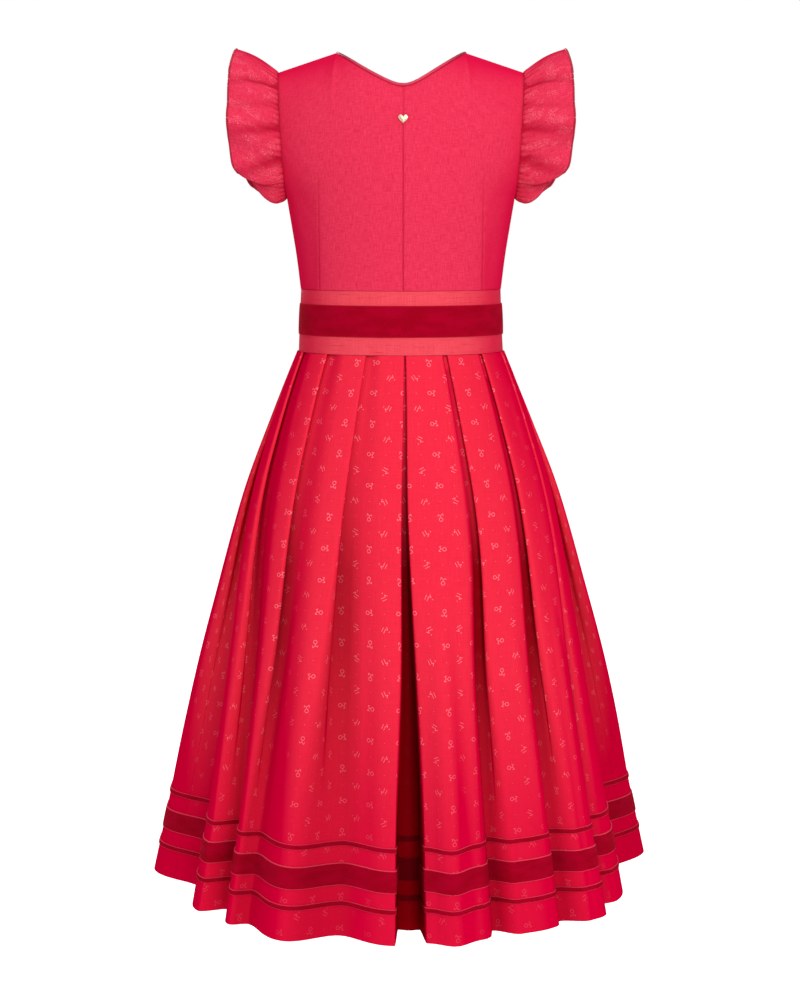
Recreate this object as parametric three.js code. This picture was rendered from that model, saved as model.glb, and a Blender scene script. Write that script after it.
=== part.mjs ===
// A girl's dirndl, worn form with no wearer: piped bodice, ruffled sleeves,
// ribboned waistband and a pleated skirt with three velvet ribbons above its hem.
// Millimetres, +Z up, +Y towards the wearer's front, +X towards the wearer's right.
// The origin is midway between the two neck points, at the top of the shoulder seams.
import * as THREE from 'three';

// ---------------------------------------------------------------- cloth
const SEAM_GAP = 0.3;          // between two pieces that meet at a seam
const BODICE_CLOTH = 1.4;
const SLEEVE_CLOTH = 1.0;
const BAND_CLOTH = 1.8;
const SKIRT_CLOTH = 1.2;
const RIBBON_CLOTH = 0.9;
const DEGREE = Math.PI / 180;
const QUARTER_TURN = 90;

// ---------------------------------------------------------------- bodice
const SHOULDER = { neckX: 74, tipX: 142.5, tipZ: -23 };
const ARMHOLE = { bottomX: 134, bottomZ: -166, halfDepth: 46 };
const ROLL_ROWS = 6;           // rows that carry a panel over the shoulder
const DART = { depth: 0.8, halfWidth: 0.014 };

// Rows of the body's outline up to the underarm.
const BODY_ROWS = [
  { z: -273.1, side: 118.4, back: -94.0, front: 93.0 },
  { z: -236.0, side: 122.8, back: -95.5, front: 97.0 },
  { z: -201.0, side: 128.2, back: -98.0, front: 102.0 },
  { z: -166.0, side: 134.0, back: -100.0, front: 106.0 },
];
// Rows above the underarm: their ends lie on the armhole at the angle named.
const ARMHOLE_ROWS = [
  { angle: 150, backZ: -147, back: -100, frontZ: -151, front: 107.5 },
  { angle: 120, backZ: -126, back: -99, frontZ: -135, front: 107.0 },
  { angle: 95, backZ: -104, back: -96, frontZ: -121, front: 105.0 },
];
const BACK_NECK = { depth: -77, drop: 40, rise: 1.6, round: 2.2 };
const FRONT_NECK = { depth: 99, drop: 92, rise: 2.4, round: 3.2 };
const BACK_COLUMNS = [0, 0.05, 0.1, 0.2, 0.3, 0.4, 0.46, 0.5, 0.575, 0.606, 0.62, 0.634, 0.67, 0.78, 0.89, 1];
const FRONT_COLUMNS = [0, 0.1, 0.2, 0.286, 0.3, 0.314, 0.37, 0.42, 0.46, 0.485, 0.5, 0.6, 0.72, 0.84, 0.93, 1];
const BACK_DART = { at: 0.62, top: -165 };
const FRONT_DART = { at: 0.3, top: -178 };
const NECK_COLUMN = 0.5;       // the column that ends at the neck point

// ---------------------------------------------------------------- trims and sleeves
const NECK_PIPING = { radius: 1.6, sides: 6, lift: 0.7 };
const SLEEVE = {
  seamClearance: 0.9, columns: 54, rows: 3, topX: 190, sideBulge: 7, bottomX: 158, turnUnder: 11,
  topZ: -2, bottomZ: -160, halfDepth: 60, bow: 4, waves: 9, waveHeight: 6.5, fullness: 1.15,
};
const SLEEVE_PIPING = { radius: 1.3, sides: 5, lift: 0.7 };
const HEART = { width: 11, height: 10, thickness: 2.2, z: -81, bevel: 0.8 };

// ---------------------------------------------------------------- waistband
const BAND = { topZ: -273.6, bottomZ: -346.3, columns: 56 };
const BAND_ROWS = [
  { z: BAND.topZ, side: 118.6, back: -94.0, front: 93.0 },
  { z: BAND.bottomZ, side: 122.2, back: -96.5, front: 95.5 },
];
const WAIST_RIBBON = { topZ: -290, bottomZ: -326 };

// ---------------------------------------------------------------- skirt
// Levels of the skirt: the oval that its pleats stand on, and how far they have
// opened from pressed folds (0) to free flutes (1). The last two levels are
// alike in shape, so the ribbons between them lie flat on the cloth.
const SKIRT_LEVELS = [
  { z: -346.7, halfWidth: 121.0, halfDepth: 94.5, open: 0.00 },
  { z: -380.0, halfWidth: 134.6, halfDepth: 105.6, open: 0.03 },
  { z: -430.0, halfWidth: 153.6, halfDepth: 122.7, open: 0.10 },
  { z: -505.0, halfWidth: 180.0, halfDepth: 146.0, open: 0.24 },
  { z: -560.0, halfWidth: 195.0, halfDepth: 159.0, open: 0.36 },
  { z: -630.0, halfWidth: 212.0, halfDepth: 174.0, open: 0.51 },
  { z: -710.0, halfWidth: 231.0, halfDepth: 190.0, open: 0.69 },
  { z: -795.0, halfWidth: 249.0, halfDepth: 205.0, open: 0.87 },
  { z: -882.0, halfWidth: 267.0, halfDepth: 219.0, open: 1.00 },
  { z: -992.0, halfWidth: 290.0, halfDepth: 237.9, open: 1.00 },
];
// One row for each fold, in order round the skirt, 0 at the centre back.
// facing: the way its free edge points. waist, hip, knee: where the fold lies at
// those levels, and crest and valley: its two sides at the hem, all in degrees.
// rise and dip: how far those sides stand from the oval, and inner: how far the
// pressed fold runs on underneath, in millimetres.
const FOLD_LEVELS = [-346.7, -540, -720, -882];
const FOLDS = [
  { name: 'front_left_centre', facing: -1, waist: -174.6, hip: -176, knee: -174, crest: -165, rise: 12, valley: -178, dip: -30, inner: 9.6 },
  { name: 'front_left_second', facing: -1, waist: -150, hip: -148, knee: -147, crest: -140, rise: 15, valley: -153, dip: -14, inner: 14 },
  { name: 'front_left_first', facing: -1, waist: -122, hip: -120, knee: -118, crest: -110, rise: 17, valley: -126, dip: -16, inner: 14 },
  { name: 'left_side', facing: 1, waist: -95, hip: -84, knee: -79, crest: -89, rise: 18, valley: -69, dip: -30, inner: 14 },
  { name: 'back_left_third', facing: 1, waist: -76.5, hip: -64, knee: -54, crest: -53.5, rise: 6, valley: -48.5, dip: -22, inner: 14 },
  { name: 'back_left_second', facing: 1, waist: -49.8, hip: -43.5, knee: -39.5, crest: -41.5, rise: 9, valley: -36.5, dip: -1, inner: 14 },
  { name: 'back_left_first', facing: 1, waist: -24, hip: -22, knee: -20.5, crest: -26, rise: 20, valley: -14, dip: -13, inner: 14 },
  { name: 'back_centre_left', facing: 1, waist: -2.9, hip: -1.8, knee: -0.4, crest: -3.4, rise: 9, valley: 2.4, dip: -36, inner: 9.6 },
  { name: 'back_centre_right', facing: -1, waist: 7.3, hip: 4.6, knee: 5.4, crest: 9.8, rise: 18, valley: 4.4, dip: -31, inner: 9.6 },
  { name: 'back_right_first', facing: -1, waist: 30.8, hip: 29, knee: 24.5, crest: 29.5, rise: 0, valley: 21.5, dip: -14, inner: 14 },
  { name: 'back_right_second', facing: -1, waist: 56, hip: 49.5, knee: 42, crest: 47, rise: 14, valley: 34, dip: 1, inner: 14 },
  { name: 'back_right_third', facing: -1, waist: 81.5, hip: 69, knee: 63, crest: 69, rise: -5, valley: 59, dip: -12, inner: 14 },
  { name: 'right_side', facing: -1, waist: 100, hip: 93, knee: 93, crest: 103, rise: 30, valley: 86, dip: -32, inner: 14 },
  { name: 'front_right_first', facing: 1, waist: 122, hip: 121, knee: 121, crest: 115, rise: 17, valley: 127, dip: -16, inner: 14 },
  { name: 'front_right_second', facing: 1, waist: 150, hip: 148, knee: 147, crest: 140, rise: 15, valley: 153, dip: -14, inner: 14 },
  { name: 'front_right_centre', facing: 1, waist: 174.6, hip: 176, knee: 174, crest: 165, rise: 12, valley: 178, dip: -30, inner: 9.6 },
];
// The eight stations across a fold, from its outer panel to its inner one.
// along and out place them on the pressed fold, and share on the open flute.
const PRESSED = { edge: 8, turn: 9.6, panel: 15, layer: 2.4 };
const STATIONS = [
  { along: -PRESSED.panel, out: PRESSED.layer, share: 0 },
  { along: PRESSED.edge, out: PRESSED.layer, share: 0.2 },
  { along: PRESSED.turn, out: PRESSED.layer / 2, share: 0.33 },
  { along: PRESSED.edge, out: 0, share: 0.44 },
  { along: -PRESSED.edge, out: 0, share: 0.56 },
  { along: -PRESSED.turn, out: -PRESSED.layer / 2, share: 0.67 },
  { along: -PRESSED.edge, out: -PRESSED.layer, share: 0.8 },
  { along: null, out: -PRESSED.layer, share: 1 },
];
const RETURN_STATION = 3;      // the side seams lie just after it, inside a fold
const SEAM_FOLDS = ['left_side', 'right_side'];
const MID_PANEL_CROWN = 2;

// Velvet ribbons, by the height of their edges above the hem.
const HEM_RIBBONS = [
  { name: 'hem_ribbon_lower', bottom: 34, top: 39.5 },
  { name: 'hem_ribbon_wide', bottom: 57, top: 82 },
  { name: 'hem_ribbon_upper', bottom: 101, top: 106.5 },
];

// ---------------------------------------------------------------- materials
const BODICE_LINEN = new THREE.MeshStandardMaterial({ color: 0xe2334f, roughness: 0.85, metalness: 0 });
const SLEEVE_VOILE = new THREE.MeshStandardMaterial({ color: 0xdc3350, roughness: 0.8, metalness: 0 });
const BAND_DUPION = new THREE.MeshStandardMaterial({ color: 0xf05062, roughness: 0.6, metalness: 0 });
const SKIRT_COTTON = new THREE.MeshStandardMaterial({ color: 0xe61c3a, roughness: 0.7, metalness: 0 });
const VELVET = new THREE.MeshStandardMaterial({ color: 0x9c0622, roughness: 0.9, metalness: 0 });
const PIPING_SATIN = new THREE.MeshStandardMaterial({ color: 0xb01835, roughness: 0.55, metalness: 0 });
const GOLD = new THREE.MeshStandardMaterial({ color: 0xd9b064, roughness: 0.3, metalness: 1 });

// ---------------------------------------------------------------- grids and walls
const lerp = THREE.MathUtils.lerp;
const point = (x, y, z) => new THREE.Vector3(x, y, z);

// Straight interpolation of one column of a table of rows sorted by falling z.
function readTable(rows, column, z) {
  const next = rows.findIndex((row) => row.z <= z);
  if (next <= 0) return rows[next === 0 ? 0 : rows.length - 1][column];
  const [above, below] = [rows[next - 1], rows[next]];
  return lerp(above[column], below[column], (above.z - z) / (above.z - below.z));
}

// The direction across a row at one point: the sum of the unit steps either side.
function directionAt(points, index, closed) {
  const count = points.length;
  const direction = point(0, 0, 0);
  for (const [from, to] of [[index - 1, index], [index, index + 1]]) {
    if (!closed && (from < 0 || to >= count)) continue;
    const step = points[(to + count) % count].clone().sub(points[(from + count) % count]);
    if (step.lengthSq() > 0) direction.add(step.normalize());
  }
  return direction.normalize();
}

// A copy of a grid of points moved along its outward normals. Rows run upwards
// and their points anticlockwise seen from above. A level grid keeps its heights.
function movedOut(rows, distance, { closed = false, level = false } = {}) {
  return rows.map((row, r) => row.map((place, c) => {
    const column = rows.map((other) => other[c]);
    const across = directionAt(row, c, closed);
    const up = directionAt(column, r, false);
    const normal = across.cross(up);
    if (level) normal.z = 0;
    return place.clone().addScaledVector(normal.normalize(), distance);
  }));
}

// A closed body from triangles on shared vertices, turned so its faces point out.
function bodyFrom(vertices, triangles) {
  let volume = 0;
  for (const [a, b, c] of triangles) {
    volume += vertices[a].dot(vertices[b].clone().cross(vertices[c]));
  }
  const faces = volume > 0 ? triangles : triangles.map(([a, b, c]) => [a, c, b]);
  const geometry = new THREE.BufferGeometry().setFromPoints(vertices);
  geometry.setIndex(faces.flat());
  return geometry;
}

// The wall between two grids of the same size, closed round its edges.
function wallBetween(outer, inner, closed) {
  const [rowCount, columnCount] = [outer.length, outer[0].length];
  const vertices = [...outer.flat(), ...inner.flat()];
  const out = (r, c) => r * columnCount + (c % columnCount);
  const within = (r, c) => rowCount * columnCount + out(r, c);
  const triangles = [];
  const quad = (a, b, c, d) => triangles.push([a, b, c], [a, c, d]);
  const cells = closed ? columnCount : columnCount - 1;
  for (let c = 0; c < cells; c += 1) {
    for (let r = 0; r < rowCount - 1; r += 1) {
      quad(out(r, c), out(r, c + 1), out(r + 1, c + 1), out(r + 1, c));
      quad(within(r, c), within(r + 1, c), within(r + 1, c + 1), within(r, c + 1));
    }
    const top = rowCount - 1;
    quad(out(0, c + 1), out(0, c), within(0, c), within(0, c + 1));
    quad(out(top, c), out(top, c + 1), within(top, c + 1), within(top, c));
  }
  if (!closed) {
    const last = columnCount - 1;
    for (let r = 0; r < rowCount - 1; r += 1) {
      quad(out(r, 0), out(r + 1, 0), within(r + 1, 0), within(r, 0));
      quad(out(r + 1, last), out(r, last), within(r, last), within(r + 1, last));
    }
  }
  return bodyFrom(vertices, triangles);
}

// A cloth wall with the grid in the middle of its thickness.
function clothWall(middle, thickness, options = {}) {
  const outer = movedOut(middle, thickness / 2, options);
  const inner = movedOut(middle, -thickness / 2, options);
  return wallBetween(outer, inner, options.closed ?? false);
}

// A round cord that closes on itself, along a ring of points.
function ringCord(path, radius, sides) {
  const vertices = [];
  const triangles = [];
  path.forEach((centre, index) => {
    const along = directionAt(path, index, true);
    const side = point(0, 0, 1).addScaledVector(along, -along.z);
    if (side.lengthSq() < 0.04) side.set(0, 1, 0).addScaledVector(along, -along.y);
    const first = side.normalize();
    const second = along.clone().cross(first);
    for (let k = 0; k < sides; k += 1) {
      const turn = (2 * Math.PI * k) / sides;
      vertices.push(centre.clone()
        .addScaledVector(first, radius * Math.cos(turn))
        .addScaledVector(second, radius * Math.sin(turn)));
    }
  });
  const at = (i, k) => (i % path.length) * sides + (k % sides);
  for (let i = 0; i < path.length; i += 1) {
    for (let k = 0; k < sides; k += 1) {
      triangles.push([at(i, k), at(i + 1, k), at(i + 1, k + 1)]);
      triangles.push([at(i, k), at(i + 1, k + 1), at(i, k + 1)]);
    }
  }
  return bodyFrom(vertices, triangles);
}

// ---------------------------------------------------------------- bodice
// A point of the armhole seam. angle is 0 at the shoulder tip and 180 at the
// underarm, and side is -1 on the back and 1 on the front.
function armholePoint(angle, side) {
  const middle = (SHOULDER.tipZ + ARMHOLE.bottomZ) / 2;
  const halfHeight = (SHOULDER.tipZ - ARMHOLE.bottomZ) / 2;
  const z = middle + halfHeight * Math.cos(angle * DEGREE);
  const share = (z - ARMHOLE.bottomZ) / (2 * halfHeight);
  const x = lerp(ARMHOLE.bottomX, SHOULDER.tipX, share);
  return point(x, side * ARMHOLE.halfDepth * Math.sin(angle * DEGREE), z);
}

// One row of a panel from the centre to its outer end, as an arc of an oval.
function ovalRow(columns, centreZ, centreY, end) {
  const endAngle = Math.acos(THREE.MathUtils.clamp(end.y / centreY, 0, 1));
  return columns.map((u) => {
    const reach = Math.sin(u * endAngle) / Math.sin(endAngle);
    const z = lerp(centreZ, end.z, reach ** 1.5);
    return point(end.x * reach, centreY * Math.cos(u * endAngle), z);
  });
}

// The top edge of a panel: the neckline up to the neck point, then the shoulder.
function topEdge(columns, neck) {
  const tip = point(SHOULDER.tipX, 0, SHOULDER.tipZ);
  const neckPoint = point(SHOULDER.neckX, 0, 0);
  return columns.map((u) => {
    if (u > NECK_COLUMN) return neckPoint.clone().lerp(tip, (u - NECK_COLUMN) / (1 - NECK_COLUMN));
    const k = u / NECK_COLUMN;
    const y = neck.depth * Math.max(0, 1 - k ** neck.round) ** 0.5;
    return point(SHOULDER.neckX * k, y, -neck.drop * (1 - k ** neck.rise));
  });
}

// The rows that carry a panel from its last armhole row over to its top edge.
function rollRows(lastRow, top) {
  return Array.from({ length: ROLL_ROWS }, (_, step) => {
    const turn = ((step + 1) / ROLL_ROWS) * QUARTER_TURN * DEGREE;
    return lastRow.map((low, c) => point(
      lerp(low.x, top[c].x, Math.sin(turn)),
      lerp(top[c].y, low.y, Math.cos(turn)),
      lerp(low.z, top[c].z, Math.sin(turn)),
    ));
  });
}

// Half of the back or front, from the centre line out to the wearer's right.
function halfBodice(columns, sideName, neck, dart) {
  const side = sideName === 'back' ? -1 : 1;
  const lower = BODY_ROWS.map((row) => ovalRow(columns, row.z, row[sideName], point(row.side, 0, row.z)));
  const upper = ARMHOLE_ROWS.map((row) => (
    ovalRow(columns, row[`${sideName}Z`], row[sideName], armholePoint(row.angle, side))));
  const rows = [...lower, ...upper];
  rows.push(...rollRows(rows[rows.length - 1], topEdge(columns, neck)));
  for (const row of rows) {
    columns.forEach((u, c) => {
      const height = (row[c].z - dart.top) / (BODY_ROWS[0].z - dart.top);
      const fold = Math.max(0, 1 - Math.abs(u - dart.at) / DART.halfWidth) * Math.max(0, height) ** 0.3;
      row[c].y -= side * DART.depth * fold;
    });
  }
  return rows;
}

const mirrored = (rows) => rows.map((row) => row.map((p) => point(-p.x, p.y, p.z)).reverse());
const shifted = (rows, x, y) => rows.map((row) => row.map((p) => point(p.x + x, p.y + y, p.z)));

function backPanels() {
  const half = halfBodice(BACK_COLUMNS, 'back', BACK_NECK, BACK_DART);
  const right = shifted(half, SEAM_GAP / 2, -SEAM_GAP / 2);
  return {
    right: clothWall(right, BODICE_CLOTH),
    left: clothWall(mirrored(right), BODICE_CLOTH),
  };
}

function frontPanel() {
  const right = halfBodice(FRONT_COLUMNS, 'front', FRONT_NECK, FRONT_DART);
  const left = mirrored(right);
  const whole = right.map((row, r) => [...left[r].slice(0, -1), ...row].reverse());
  return clothWall(shifted(whole, 0, SEAM_GAP / 2), BODICE_CLOTH);
}

// The cord round the neckline, on the panels' top edges: it is lifted off each
// point of the edge, square to the edge and towards the middle of the neck.
function neckPiping() {
  const edge = (columns, neck) => topEdge(columns.filter((u) => u <= NECK_COLUMN), neck);
  const back = edge(BACK_COLUMNS, BACK_NECK);
  const front = edge(FRONT_COLUMNS, FRONT_NECK).reverse().slice(1);
  const rightHalf = [...back, ...front];
  const leftHalf = rightHalf.slice(1, -1).reverse().map((p) => point(-p.x, p.y, p.z));
  const ring = [...rightHalf, ...leftHalf];
  const path = ring.map((place, index) => {
    const along = directionAt(ring, index, true);
    const share = place.x / SHOULDER.neckX;
    const inward = point(-share, 0, 1 - 0.5 * Math.abs(share));
    inward.addScaledVector(along, -inward.dot(along)).normalize();
    return place.clone().addScaledVector(inward, NECK_PIPING.radius + NECK_PIPING.lift);
  });
  return ringCord(path, NECK_PIPING.radius, NECK_PIPING.sides);
}

// ---------------------------------------------------------------- sleeves
// The seam and the free edge of the ruffle at one angle round the armhole.
function sleeveEnds(angle) {
  const seam = armholePoint(angle, -1);
  const down = (1 - Math.cos(angle * DEGREE)) / 2;
  const edge = point(
    lerp(SLEEVE.topX, SLEEVE.bottomX, down ** SLEEVE.turnUnder)
      + SLEEVE.sideBulge * Math.abs(Math.sin(angle * DEGREE)),
    -SLEEVE.halfDepth * Math.sin(angle * DEGREE),
    lerp(SLEEVE.topZ, SLEEVE.bottomZ, down),
  );
  return { seam, edge };
}

// The ruffle as rows from the seam out. Its waves grow towards the free edge.
function ruffleRows(shares) {
  const middleZ = (SLEEVE.topZ + SLEEVE.bottomZ) / 2;
  return shares.map((share) => Array.from({ length: SLEEVE.columns }, (_, c) => {
    const angle = (360 * c) / SLEEVE.columns;
    const { seam, edge } = sleeveEnds(angle);
    const start = seam.clone().addScaledVector(edge.clone().sub(seam).normalize(), SLEEVE.seamClearance);
    const place = start.lerp(edge, share);
    const outward = point(0, place.y, place.z - middleZ).normalize();
    const uneven = 0.5 * Math.sin(2 * angle * DEGREE + 1);
    const wave = Math.sin(SLEEVE.waves * angle * DEGREE + uneven);
    const height = SLEEVE.waveHeight * wave * share ** SLEEVE.fullness;
    return place.addScaledVector(outward, height + SLEEVE.bow * Math.sin(share * Math.PI));
  }));
}

function sleeve(mirror) {
  const shares = Array.from({ length: SLEEVE.rows + 1 }, (_, r) => r / SLEEVE.rows);
  const rows = ruffleRows(shares);
  const placed = mirror ? mirrored(rows) : rows;
  return clothWall(placed, SLEEVE_CLOTH, { closed: true });
}

function sleevePiping(mirror) {
  const [near, edge] = ruffleRows([0.9, 1]);
  const path = edge.map((place, c) => {
    const along = directionAt(edge, c, true);
    const outward = place.clone().sub(near[c]);
    outward.addScaledVector(along, -outward.dot(along)).normalize();
    return place.clone().addScaledVector(outward, SLEEVE_PIPING.radius + SLEEVE_PIPING.lift);
  });
  const placed = mirror ? mirrored([path])[0] : path;
  return ringCord(placed, SLEEVE_PIPING.radius, SLEEVE_PIPING.sides);
}

// ---------------------------------------------------------------- heart stud
function heartStud() {
  const half = HEART.width / 2;
  const outline = new THREE.Shape();
  outline.moveTo(0, -HEART.height * 0.5);
  outline.bezierCurveTo(half * 0.5, -HEART.height * 0.2, half, 0, half, HEART.height * 0.22);
  outline.bezierCurveTo(half, HEART.height * 0.55, half * 0.15, HEART.height * 0.6, 0, HEART.height * 0.25);
  outline.bezierCurveTo(-half * 0.15, HEART.height * 0.6, -half, HEART.height * 0.55, -half, HEART.height * 0.22);
  outline.bezierCurveTo(-half, 0, -half * 0.5, -HEART.height * 0.2, 0, -HEART.height * 0.5);
  const geometry = new THREE.ExtrudeGeometry(outline, {
    depth: HEART.thickness - 2 * HEART.bevel, curveSegments: 4,
    bevelThickness: HEART.bevel, bevelSize: HEART.bevel, bevelOffset: -HEART.bevel, bevelSegments: 2,
  });
  geometry.translate(0, 0, HEART.bevel);
  geometry.rotateX(QUARTER_TURN * DEGREE);
  return geometry;
}

// Where the stud sits: on the back's centre line, flat against the panels.
function studSeat() {
  const line = halfBodice(BACK_COLUMNS, 'back', BACK_NECK, BACK_DART).map((row) => row[0]);
  const above = line.findIndex((p) => p.z > HEART.z);
  const [low, high] = [line[above - 1], line[above]];
  const slope = high.clone().sub(low).normalize();
  const outward = point(0, -slope.z, slope.y);
  const place = low.clone().lerp(high, (HEART.z - low.z) / (high.z - low.z));
  place.addScaledVector(outward, BODICE_CLOTH / 2 + 2 * SEAM_GAP);
  return { place, tilt: Math.atan2(-slope.y, slope.z) };
}

// ---------------------------------------------------------------- rings
// Rows of an oval ring, read from a table of levels, from the bottom up.
function ovalRing(levels, table, columns, out = 0) {
  return levels.map((z) => {
    const side = readTable(table, 'side', z) + out;
    const back = readTable(table, 'back', z) - out;
    const front = readTable(table, 'front', z) + out;
    return Array.from({ length: columns }, (_, c) => {
      const angle = (2 * Math.PI * c) / columns;
      const depth = Math.cos(angle) > 0 ? back : -front;
      return point(side * Math.sin(angle), depth * Math.cos(angle), z);
    });
  });
}

function waistband() {
  const rows = ovalRing([BAND.bottomZ, BAND.topZ], BAND_ROWS, BAND.columns);
  return clothWall(rows, BAND_CLOTH, { closed: true, level: true });
}

function waistRibbon() {
  const out = BAND_CLOTH / 2 + SEAM_GAP + RIBBON_CLOTH / 2;
  const rows = ovalRing([WAIST_RIBBON.bottomZ, WAIST_RIBBON.topZ], BAND_ROWS, BAND.columns, out);
  return clothWall(rows, RIBBON_CLOTH, { closed: true, level: true });
}

// ---------------------------------------------------------------- skirt
// Where a fold lies at a height, in degrees round the oval.
function foldAngle(fold, z) {
  const open = (fold.crest + fold.valley) / 2;
  const stops = FOLD_LEVELS.map((level, i) => ({ z: level, angle: [fold.waist, fold.hip, fold.knee, open][i] }));
  return readTable(stops, 'angle', Math.max(z, FOLD_LEVELS[3]));
}

// A point of the oval at an angle in degrees, moved out by a distance.
function ovalPoint(level, angle, out) {
  const [s, c] = [Math.sin(angle * DEGREE), Math.cos(angle * DEGREE)];
  const normal = point(s * level.halfDepth, -c * level.halfWidth, 0).normalize();
  return point(level.halfWidth * s, -level.halfDepth * c, level.z).addScaledVector(normal, out);
}

// The eight stations of a fold at a level, as angles and distances out.
function foldStations(fold, level) {
  const centre = foldAngle(fold, level.z);
  const openCentre = (fold.crest + fold.valley) / 2;
  const [s, c] = [Math.sin(centre * DEGREE), Math.cos(centre * DEGREE)];
  const degreesPerMm = 1 / (Math.hypot(level.halfWidth * c, level.halfDepth * s) * DEGREE);
  const stations = STATIONS.map(({ along, out, share }) => {
    const pressedAngle = fold.facing * (along ?? fold.inner) * degreesPerMm;
    const openAngle = lerp(fold.crest, fold.valley, share) - openCentre;
    const openOut = lerp(fold.dip, fold.rise, (1 + Math.cos(share * Math.PI)) / 2);
    return {
      angle: centre + lerp(pressedAngle, openAngle, level.open),
      out: lerp(out, openOut, level.open),
    };
  });
  return fold.facing > 0 ? stations : stations.reverse();
}

// All stations round the skirt at a level, with one more in each panel's middle.
function skirtRing(level) {
  const folds = FOLDS.map((fold) => foldStations(fold, level));
  return folds.flatMap((stations, i) => {
    const next = folds[(i + 1) % folds.length][0];
    const last = stations[stations.length - 1];
    const wrap = i === folds.length - 1 ? 360 : 0;
    const middle = {
      angle: (last.angle + next.angle + wrap) / 2,
      out: (last.out + next.out) / 2 + MID_PANEL_CROWN * level.open,
    };
    return [...stations, middle];
  }).map(({ angle, out }) => ovalPoint(level, angle, out));
}

// A level of the skirt at any height, read between those of the table.
function skirtLevel(z) {
  const read = (column) => readTable(SKIRT_LEVELS, column, z);
  return { z, halfWidth: read('halfWidth'), halfDepth: read('halfDepth'), open: read('open') };
}

// The skirt's ring at a height. Between the last two levels the ring at the hem
// is scaled, so the cloth there is a straight cone with flutes.
function ringAtHeight(z) {
  const [start, hem] = SKIRT_LEVELS.slice(-2);
  if (z > start.z) return skirtRing(skirtLevel(z));
  const scale = skirtLevel(z).halfWidth / hem.halfWidth;
  return skirtRing(hem).map((p) => point(p.x * scale, p.y * scale, z));
}

// The places in a ring where the two side seams cut it.
function seamStations() {
  const perFold = STATIONS.length + 1;
  return SEAM_FOLDS.map((name) => {
    const index = FOLDS.findIndex((fold) => fold.name === name);
    const within = FOLDS[index].facing > 0 ? RETURN_STATION : STATIONS.length - 2 - RETURN_STATION;
    return index * perFold + within;
  });
}

// The stretch of a ring from one seam to the next, short of both by half a gap.
// The gap is measured on the ring in the middle of the cloth.
function panelRow(ring, middle, from, to) {
  const count = ring.length;
  const seamPoint = (index, sign) => {
    const [a, b] = [index % count, (index + 1) % count];
    const share = 0.5 + (sign * SEAM_GAP) / 2 / middle[a].distanceTo(middle[b]);
    return ring[a].clone().lerp(ring[b], share);
  };
  const length = (to - from + count) % count;
  const inside = Array.from({ length }, (_, i) => ring[(from + 1 + i) % count]);
  return [seamPoint(from, 1), ...inside, seamPoint(to, -1)];
}

function skirtPanels() {
  const middle = SKIRT_LEVELS.map((level) => ringAtHeight(level.z)).reverse();
  const options = { closed: true, level: true };
  const outer = movedOut(middle, SKIRT_CLOTH / 2, options);
  const inner = movedOut(middle, -SKIRT_CLOTH / 2, options);
  const [left, right] = seamStations();
  const rows = (rings, from, to) => rings.map((ring, r) => panelRow(ring, middle[r], from, to));
  const panel = (from, to) => wallBetween(rows(outer, from, to), rows(inner, from, to), false);
  return { back: panel(left, right), front: panel(right, left) };
}

// A ribbon sewn round the hem: the skirt's own points, moved out.
function hemRibbon({ bottom, top }) {
  const hemZ = SKIRT_LEVELS[SKIRT_LEVELS.length - 1].z;
  const rings = [hemZ + bottom, hemZ + top].map(ringAtHeight);
  const clearance = SKIRT_CLOTH / 2 + SEAM_GAP;
  const options = { closed: true, level: true };
  const inner = movedOut(rings, clearance, options);
  const outer = movedOut(rings, clearance + RIBBON_CLOTH, options);
  return wallBetween(outer, inner, true);
}

// ---------------------------------------------------------------- the garment
const dirndl = new THREE.Group();

function add(name, geometry, material) {
  const mesh = new THREE.Mesh(geometry, material);
  mesh.name = name;
  dirndl.add(mesh);
  return mesh;
}

const backs = backPanels();
add('bodice_back_left', backs.left, BODICE_LINEN);
add('bodice_back_right', backs.right, BODICE_LINEN);
add('bodice_front', frontPanel(), BODICE_LINEN);
add('neck_piping', neckPiping(), PIPING_SATIN);
add('sleeve_left', sleeve(true), SLEEVE_VOILE);
add('sleeve_right', sleeve(false), SLEEVE_VOILE);
add('sleeve_piping_left', sleevePiping(true), PIPING_SATIN);
add('sleeve_piping_right', sleevePiping(false), PIPING_SATIN);
add('waistband', waistband(), BAND_DUPION);
add('waist_ribbon', waistRibbon(), VELVET);
const panels = skirtPanels();
add('skirt_back', panels.back, SKIRT_COTTON);
add('skirt_front', panels.front, SKIRT_COTTON);
HEM_RIBBONS.forEach((ribbon) => add(ribbon.name, hemRibbon(ribbon), VELVET));
const stud = add('heart_stud', heartStud(), GOLD);
const seat = studSeat();
stud.position.copy(seat.place);
stud.rotation.x = seat.tilt;

export default dirndl;
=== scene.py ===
"""A girl's dirndl: linen bodice, voile ruffle sleeves, dupion waistband and a pleated cotton skirt.

Cloth tables are in millimetres and degrees, as on the pattern. +Y is the wearer's front and +X the
wearer's right. A grid of cloth has its rows upwards and its columns anticlockwise seen from above.
"""

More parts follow.
